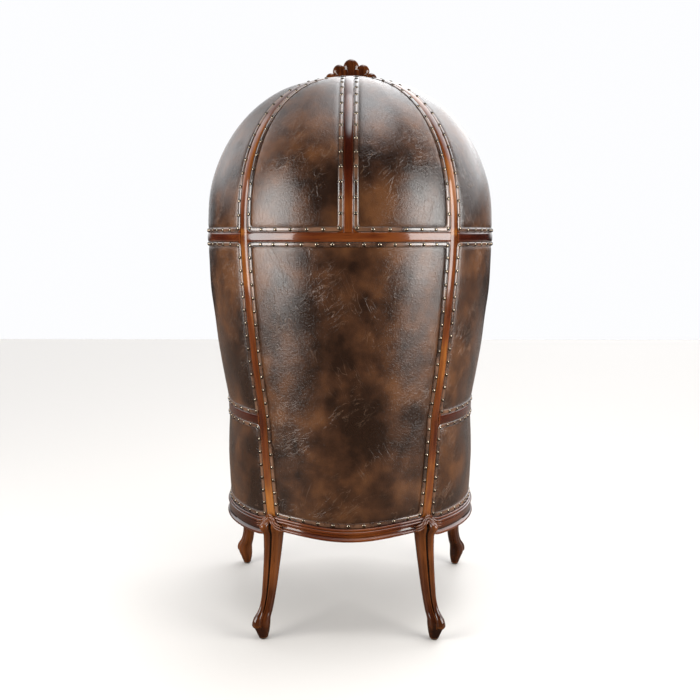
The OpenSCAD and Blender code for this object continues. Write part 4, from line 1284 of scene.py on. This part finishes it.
def nail_spots(opening, pitches):
    """Places and normals of the nails round one opening; pitches for ends and sides."""
    m = GIMP_W / 2
    found = []
    for top, length in ((False, opening.width[0]), (True, opening.width[-1])):
        a0, b = opening.share(m, m, False, top)
        a1, _ = opening.share(m, m, True, top)
        k = max(int(round((length - 2 * m) / pitches[0])), 1)
        found += [opening.share(m + 0.0034, m + 0.0034, right, top) for right in (False, True)]
        found += [(a0 + (a1 - a0) * i / k, b) for i in range(1, k)]
    k = max(int(round((opening.height - 2 * m) / pitches[1])), 1)
    for right in (False, True):
        for i in range(1, k):
            y = m + (opening.height - 2 * m) * i / k
            top = y > opening.height / 2
            found.append(opening.share(m, opening.height - y if top else y, right, top))
    spots = []
    for a, b in found:
        place = opening.spot(a, b, -0.0010)
        if all(np.linalg.norm(place - other) > 0.017 for other, _ in spots):
            spots.append((place, opening.normal(float(a), float(b))))
    return spots


nail = stamp([(0.0052, 0.0), (0.0051, 0.0011), (0.0044, 0.0024), (0.0030, 0.0034), (0.0011, 0.0039)], 12)
pitches = {
    "back_panel": (0.041, 0.036), "side_panel_upper": (0.040, 0.036), "side_panel_lower": (0.038, 0.036),
    "dome_panel_rear": (0.041, 0.039), "dome_panel_side": (0.041, 0.038),
}
nails = []
for kind, opening in openings.items():
    nails += set_out(nail, nail_spots(opening, pitches[kind]), [side for side, _ in sides_of(kind)])
stand_in("upholstery_nails", joined(nails), nail_brass, angle=60)

fillets = []
arc = np.linspace(0, np.pi / 2, 7)
for kind, opening in openings.items():
    for right, top in CORNERS:
        if top and opening.width[-1] < 0.05:
            continue
        x = np.concatenate([[0.0], ROUND * (1 - np.cos(arc))])
        y = np.concatenate([[0.0], ROUND * (1 - np.sin(arc))])
        a, b = opening.share(x, y, right, top)
        rings = np.array([opening.spot(a, b, o) for o in (-0.0031, 0.0004, 0.0008)])
        fillets += [sweep(mirrored(rings, side)) for side, _ in sides_of(kind)]
finish(make("corner_fillets.look", joined(fillets)), show_wood, angle=30)


# ---- Tufted lining and buttons ----------------------------------------------------------
# The inside of the back and wings is stuffed leather drawn down by buttons in a diamond
# pattern, with a pleat from each button to the next. The arms are plain, the hood is fluted.
lining_leather = polished_leather(
    "lining_leather", (0.026, 0.0105, 0.006), (0.060, 0.0235, 0.0115), (0.135, 0.052, 0.021), 0.30
)
LINING_IN = 0.0728
HOOD_LINING_IN = 0.0588
LINING_BACK = -0.0288
TUFT_Q = 13.0
TUFT_RISE = 0.078


def pillow(t):
    """Swell of stuffing between two pleats, 0 at both and 1 in the middle."""
    f = t - np.floor(t)
    return 4 * f * (1 - f)


def tufts(q, z, first_q, first_z, count):
    """Swell from 0 at the pleats to 1, for buttons in count rows from a first place."""
    u = (q - first_q) / TUFT_Q
    v = np.clip((z - first_z) / TUFT_RISE, 0, count - 1)
    return (pillow(u + v / 2) * pillow(u - v / 2)) ** 0.36


def shares(length):
    """Even shares of a length, with one more close to each end."""
    n = int(length / 0.0065)
    return np.sort(np.concatenate([np.linspace(0, 1, n), [0.3 / n, 1 - 0.3 / n]]))


def lining(opening, swell, depth, seed):
    """A stuffed lining: its seen side swells to depth inside the body, its back lies flat."""
    a, b = np.meshgrid(shares(opening.width.max()), shares(opening.height))
    flat = opening.spot(a, b)
    wide = np.interp(b, opening.up, opening.width)
    up = np.interp(b, opening.up, opening.rise)
    x = np.minimum(a, 1 - a) * wide
    y = np.minimum(up, opening.height - up)
    near = np.clip(-0.008 * np.log(np.exp(-x / 0.008) + np.exp(-y / 0.008)) / 0.026, 0, 1)
    turn_in = 0.014 * (1 - near) ** 2.4
    inward = depth - turn_in - swell(opening, a, b) + 0.0008 * soft_waves(flat, 0.11, seed)
    places = np.stack([a * wide, up], -1)
    return opening.spot(a, b, -inward), opening.spot(a, b, LINING_BACK), places


button = stamp([(0.0112, 0.0), (0.0114, 0.0014), (0.0104, 0.0032), (0.0078, 0.0046), (0.0040, 0.0053)], 16)
BUTTON_AT = 0.0612


def tufted(first_q, first_z, rows, spots):
    """Depth of the tufting under the crown of the lining: pleats, and a dimple at each button."""
    places = np.array([surf(q, z - BAND_Z, -LINING_IN) for q, z in spots])

    def drop(opening, a, b):
        r = opening.low + (opening.high - opening.low) * b
        q = opening.qa(r) + (opening.qb(r) - opening.qa(r)) * a
        seen = opening.spot(a, b, -LINING_IN)
        apart = np.full(a.shape, 1.0)
        for place in places:
            apart = np.minimum(apart, np.linalg.norm(seen - place, axis=-1))
        swell = tufts(q, r + BAND_Z, first_q, first_z, rows)
        return 0.0095 * (1 - swell) + 0.0040 * np.exp(-((apart / 0.013) ** 2)) - 0.0015 * swell

    return drop


def level(opening, a, b):
    """Plain stuffing without tufts."""
    return 0 * a


def fluted(opening, a, b):
    """Soft flutes that run from the band up to the crown of the hood and die out there."""
    swell = pillow(a * 16) ** 0.4
    return 0.0055 * (1 - swell) * ease((0.97 - b) / 0.5)


BACK_Z, WING_Q, WING_Z = 0.560, 47, 0.716
back_spots, wing_spots = [], []
for i in range(7):
    for j in range(-3, 4):
        q = (j + (i % 2) / 2) * TUFT_Q
        if abs(q) < 40:
            back_spots.append((q, BACK_Z + TUFT_RISE * i))
for i in range(5):
    for j in range(8):
        q = WING_Q + (j + (i % 2) / 2) * TUFT_Q
        z = WING_Z + TUFT_RISE * i
        if q < float(front_q(z - BAND_Z)) - 8:
            wing_spots.append((q, z))


def lining_front(r):
    """Where the lining ends in front, behind the arch and the wing posts."""
    return front_q(r) - 0.021 / PER


LINING_TOP_R = 0.022
LINING_LOW = 0.424 - BAND_Z


def hood_lining_row(q, b, r):
    """Row of a place on the hood's lining, whose halves meet along the crown."""
    return r + (row_of(top_share(q, 0.0004, LINING_TOP_R)) - row_of(LINING_TOP_R / HOOD_B)) * b ** 3


linings = {
    "inside_back": (
        Opening(LINING_LOW, -0.001, lambda r: -41 + 0 * r, lambda r: 41 + 0 * r),
        tufted(0, BACK_Z, 7, back_spots), LINING_IN),
    "inside_wing": (
        Opening(ARM_TOP + 0.002, -0.001, lambda r: 41.2 + 0 * r, lining_front),
        tufted(WING_Q, WING_Z, 5, wing_spots), LINING_IN),
    "inside_arm": (
        Opening(LINING_LOW, 0.616 - BAND_Z, lambda r: 41.2 + 0 * r, lambda r: 90 + 0.271 / PER + 0 * r),
        level, LINING_IN),
    "inside_hood": (
        Opening(float(row_at(0.001)), float(row_of(LINING_TOP_R / HOOD_B)), lambda r: 0.2 + 0 * r,
                lining_front, hood_lining_row),
        fluted, HOOD_LINING_IN),
}
for kind, (opening, swell, depth) in linings.items():
    seen, back, places = lining(opening, swell, depth, len(kind))
    for side, name in sides_of(kind):
        shape = skin(mirrored(seen, side), mirrored(back, side), places)
        piece = stand_in(name, shape, lining_leather, angle=60)

buttons = []
for spots, sides in ((back_spots, (1,)), (wing_spots, (1, -1))):
    outer = [surf(q, z - BAND_Z) for q, z in spots]
    places = [surf(q, z - BAND_Z, -BUTTON_AT) for q, z in spots]
    buttons += set_out(button, [(place, place - out) for place, out in zip(places, outer)], sides)
stand_in("tuft_buttons", joined(buttons), lining_leather, angle=60)


# ---- Seat cushion, deck and arm pads ----------------------------------------------------
# A loose box cushion of leather, welted along both edges and filled with down on foam, lies on
# a tight leather deck. The arm pads are stuffed and drawn down over the wooden caps.
seat_leather = polished_leather(
    "seat_leather", (0.030, 0.0125, 0.007), (0.068, 0.027, 0.013), (0.150, 0.058, 0.023), 0.28
)
SEAT_Z = 0.402
CUSHION_LOW, CUSHION_HIGH = SEAT_Z + BUTT, SEAT_Z + BUTT + 0.108
SEAT_ROW = SEAT_Z - BAND_Z


def plan_line(inset, fore, corner, count=10):
    """Outline of the seat in plan, inset from the body, with its front corners rounded."""
    half = [surf(q, SEAT_ROW, inset)[:2] for q in np.linspace(0, 90, 40)]
    front = HOOD_Y - fore
    side_x = float(surf(90 + (fore - corner) / PER, SEAT_ROW, inset)[0])
    half += [surf(90 + s / PER, SEAT_ROW, inset)[:2] for s in np.linspace(0.02, fore - corner, 18)]
    arc = np.linspace(0, np.pi / 2, count)[1:]
    half += [(side_x - corner * (1 - math.cos(t)), front + corner * (1 - math.sin(t))) for t in arc]
    half = np.array(half)
    return np.concatenate([half, (half * (-1, 1))[:0:-1]])


def slab(name, outline, low, high):
    """A flat block with an outline in plan, to be stuffed."""
    n = len(outline)
    points = np.concatenate([np.c_[outline, np.full(n, low)], np.c_[outline, np.full(n, high)]])
    faces = [tuple(range(n)), tuple(range(n, 2 * n))[::-1]]
    faces += [(i, i + n, (i + 1) % n + n, (i + 1) % n) for i in range(n)]
    uvs = [(0, 0)] * sum(map(len, faces))
    return make(name, right_way(points, faces, uvs))


def stuffed(piece, voxel, limit, pressure=4.0):
    """Fills a cover with air as cloth, and keeps each point within limit(start, moved)."""
    pick(piece)
    even = piece.modifiers.new("even", "REMESH")
    even.mode = "VOXEL"
    even.voxel_size = voxel
    bpy.ops.object.modifier_apply(modifier="even")
    start = np.array([v.co for v in piece.data.vertices])
    cloth = piece.modifiers.new("cloth", "CLOTH").settings
    cloth.use_pressure = True
    cloth.uniform_pressure_force = pressure
    cloth.effector_weights.gravity = 0
    cloth.tension_stiffness = cloth.compression_stiffness = 12.0
    cloth.bending_stiffness = 0.6
    for step in range(1, 21):
        bpy.context.scene.frame_set(step)
    bpy.ops.object.modifier_apply(modifier="cloth")
    bpy.context.scene.frame_set(1)
    moved = np.array([v.co for v in piece.data.vertices])
    for vertex, place in zip(piece.data.vertices, limit(start, moved)):
        vertex.co = place
    fine = piece.modifiers.new("fine", "SUBSURF")
    fine.levels = fine.render_levels = 1
    bpy.ops.object.modifier_apply(modifier="fine")
    return piece


SEAM = 0.0245
outline = plan_line(-LINING_IN - 0.0095, 0.311, 0.030)
cushion_low, cushion_high = CUSHION_LOW + 0.0015, CUSHION_HIGH - SEAM
cushion = slab("seat_cushion.look", outline, cushion_low, cushion_high)


def cushion_limit(start, moved):
    """The seams stay, the boxing swells a little and the top rises in a crown."""
    step = moved - start
    near = np.minimum(np.abs(start[:, 2] - cushion_low), np.abs(start[:, 2] - cushion_high))
    most = np.where(near > 0.004, 0.0035 * ease(near / 0.035), 0.0005)
    across = np.linalg.norm(step[:, :2], axis=1)
    step[:, :2] *= np.minimum(1, most / np.maximum(across, 1e-6))[:, None]
    upper = start[:, 2] > (cushion_low + cushion_high) / 2
    step[:, 2] = np.where(upper, np.clip(step[:, 2], 0, 0.024), 0)
    gaps = np.linalg.norm(start[:, None, :2] - outline[None, ::2], axis=-1).min(1)
    top = start[:, 2] > cushion_high - 0.003
    crown_by = (0.0215 * (1 - (1 - np.clip(gaps / 0.16, 0, 1)) ** 2.2)
                + 0.0010 * soft_waves(start, 0.15, 5) * np.clip(gaps / 0.05, 0, 1))
    step[:, 2] = np.where(top, 0.25 * step[:, 2] + 0.78 * crown_by, step[:, 2])
    out = start + step
    out[:, 2] = np.clip(out[:, 2], CUSHION_LOW, CUSHION_HIGH + 0.002)
    return out


stuffed(cushion, 0.006, cushion_limit)
finish(cushion, seat_leather, ["seat_cushion"], "cushion", angle=60)


def welt(line, z, radius=0.0033, sides=10):
    """A cord covered with leather that follows a closed outline."""
    n = len(line)
    ahead = unit(np.roll(line, -1, 0) - np.roll(line, 1, 0))
    out = np.c_[ahead[:, 1], -ahead[:, 0]]
    turn = np.linspace(0, 2 * np.pi, sides, endpoint=False)
    rings = np.empty((n, sides, 3))
    for k, t in enumerate(turn):
        rings[:, k, :2] = line + out * radius * math.cos(t)
        rings[:, k, 2] = z + radius * math.sin(t)
    return sweep(rings, closed=True)


edges = plan_line(-LINING_IN - 0.0102, 0.3110, 0.030, 14)
shape = joined([welt(edges, z) for z in (CUSHION_LOW + 0.0048, cushion_high - 0.0005)])
finish(make("cushion_welts.look", shape), seat_leather, body="cushion", angle=60)

deck_line = plan_line(-LINING_IN - 0.0045, 0.303, 0.012)
deck = slab("seat_deck.look", deck_line, SEAT_Z - 0.0215, SEAT_Z - 0.0012)
border_half = EDGE_X - 0.048
deselect()
bpy.ops.mesh.primitive_cube_add(size=1, location=(0, HOOD_Y - 0.3128, (RAIL_TOP + SEAT_Z) / 2 - 0.0004))
border = bpy.context.object
border.scale = (2 * border_half - 0.004, 0.0145, SEAT_Z - RAIL_TOP - 0.003)
bpy.ops.object.transform_apply(location=True, rotation=True, scale=True)
pick(deck, border)
bpy.ops.object.join()


def deck_limit(start, moved):
    """The deck is tight, and keeps off the rail and the cushion."""
    out = start + np.clip(moved - start, -0.0030, 0.0030)
    out[:, 2] = np.clip(out[:, 2], RAIL_TOP + 0.0006, SEAT_Z)
    return out


stuffed(deck, 0.004, deck_limit, 3.0)
finish(deck, seat_leather, ["seat_deck"], angle=60)

PAD_X, PAD_R = EDGE_X - 0.031, 0.026
PAD_LOW = 0.6431
PAD_BACK, PAD_FORE = HOOD_Y - 0.087, HOOD_Y - 0.297


def pad_limit(start, moved):
    """The pad's sides stay near the cap's edge and its top rises in a dome."""
    step = moved - start
    step[:, :2] = np.clip(step[:, :2], -0.0018, 0.0018)
    gap = np.minimum(PAD_R - np.abs(np.abs(start[:, 0]) - PAD_X), start[:, 1] - (PAD_FORE - PAD_R))
    gap = np.minimum(gap, PAD_BACK + 0.002 - start[:, 1])
    dome = 0.0078 * (1 - (1 - np.clip(gap / PAD_R, 0, 1)) ** 2)
    rise = 0.4 * np.clip(step[:, 2], 0, 0.0078) + 0.6 * dome
    step[:, 2] = np.where(start[:, 2] > PAD_LOW + 0.012, rise, 0)
    return start + step


for side, hand in HANDS:
    half = PAD_R - 0.002
    bow = [(PAD_X + half * math.cos(t), PAD_FORE - half * math.sin(t)) for t in np.linspace(0, np.pi, 25)]
    line = np.array(bow + [(PAD_X - half, PAD_BACK), (PAD_X + half, PAD_BACK)])
    pad = slab(f"arm_pad_{hand}.look", line * (side, 1), PAD_LOW + 0.0010, PAD_LOW + 0.0200)
    stuffed(pad, 0.004, pad_limit)
    finish(pad, seat_leather, [f"arm_pad_{hand}"], angle=60)


# ---- Seat works and feet ----------------------------------------------------------------
# Under the deck a beech frame is screwed to the legs and carries jute webbing and nine steel
# springs, closed below by a black dust cloth. Steel glides are driven into the feet.
def plain(name, dark, light, scale, rough, metal=0.0, stretch=(1, 1, 1), bump_by=0.1):
    """A plain finish with faint marks between two tones."""
    material, shader = new_material(name)
    tree = material.node_tree
    places = add(tree, "ShaderNodeTexCoord")
    marks = noise(tree, moved_by(tree, "MULTIPLY", places.outputs["Object"], stretch), scale, 4.0)
    base = tones(tree, marks, [(0.35, dark), (0.7, light)])
    plug(tree, shader, in_Base_Color=base, in_Normal=bumped(tree, marks, bump_by, 0.0005),
         in_Roughness=rough, in_Metallic=metal)
    return material


frame_wood = plain("frame_wood", (0.36, 0.24, 0.13), (0.55, 0.40, 0.24), 14.0, 0.62, stretch=(1, 9, 9))
steel = plain("steel", (0.28, 0.28, 0.29), (0.52, 0.52, 0.53), 60.0, 0.36, metal=1.0)
webbing = plain("webbing", (0.24, 0.17, 0.09), (0.44, 0.33, 0.19), 420.0, 0.85, bump_by=0.5)
dust_cloth = plain("dust_cloth", (0.010, 0.010, 0.011), (0.028, 0.027, 0.027), 700.0, 0.9, bump_by=0.4)
glide_metal = plain("glide_metal", (0.22, 0.20, 0.18), (0.42, 0.40, 0.36), 90.0, 0.32, metal=1.0)
for node, material in {
    "seat_frame": frame_wood, "frame_screws": steel, "seat_webbing": webbing, "dust_cover": dust_cloth,
    "foot_glides": glide_metal,
}.items():
    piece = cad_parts[node]
    piece.data.materials.clear()
    piece.data.materials.append(material)

TURNS, WIRE_R = 3, 0.0018
coil = []
around = np.linspace(0, 2 * np.pi, 8, endpoint=False)
for t in np.linspace(0, 1, 24 * TURNS + 1):
    angle = 2 * math.pi * TURNS * t
    r = 0.030 - 0.004 * math.sin(math.pi * t) + WIRE_R * np.cos(around)
    z = 0.3024 + 0.0752 * t + WIRE_R * np.sin(around)
    coil.append(np.stack([r * math.cos(angle), r * math.sin(angle), z], -1))
coil = np.array(coil)
springs = [sweep(coil + (x, y + HOOD_Y, 0)) for x in (-0.120, 0, 0.120) for y in (-0.150, 0, 0.150)]
stand_in("seat_springs", joined(springs), steel, angle=60)
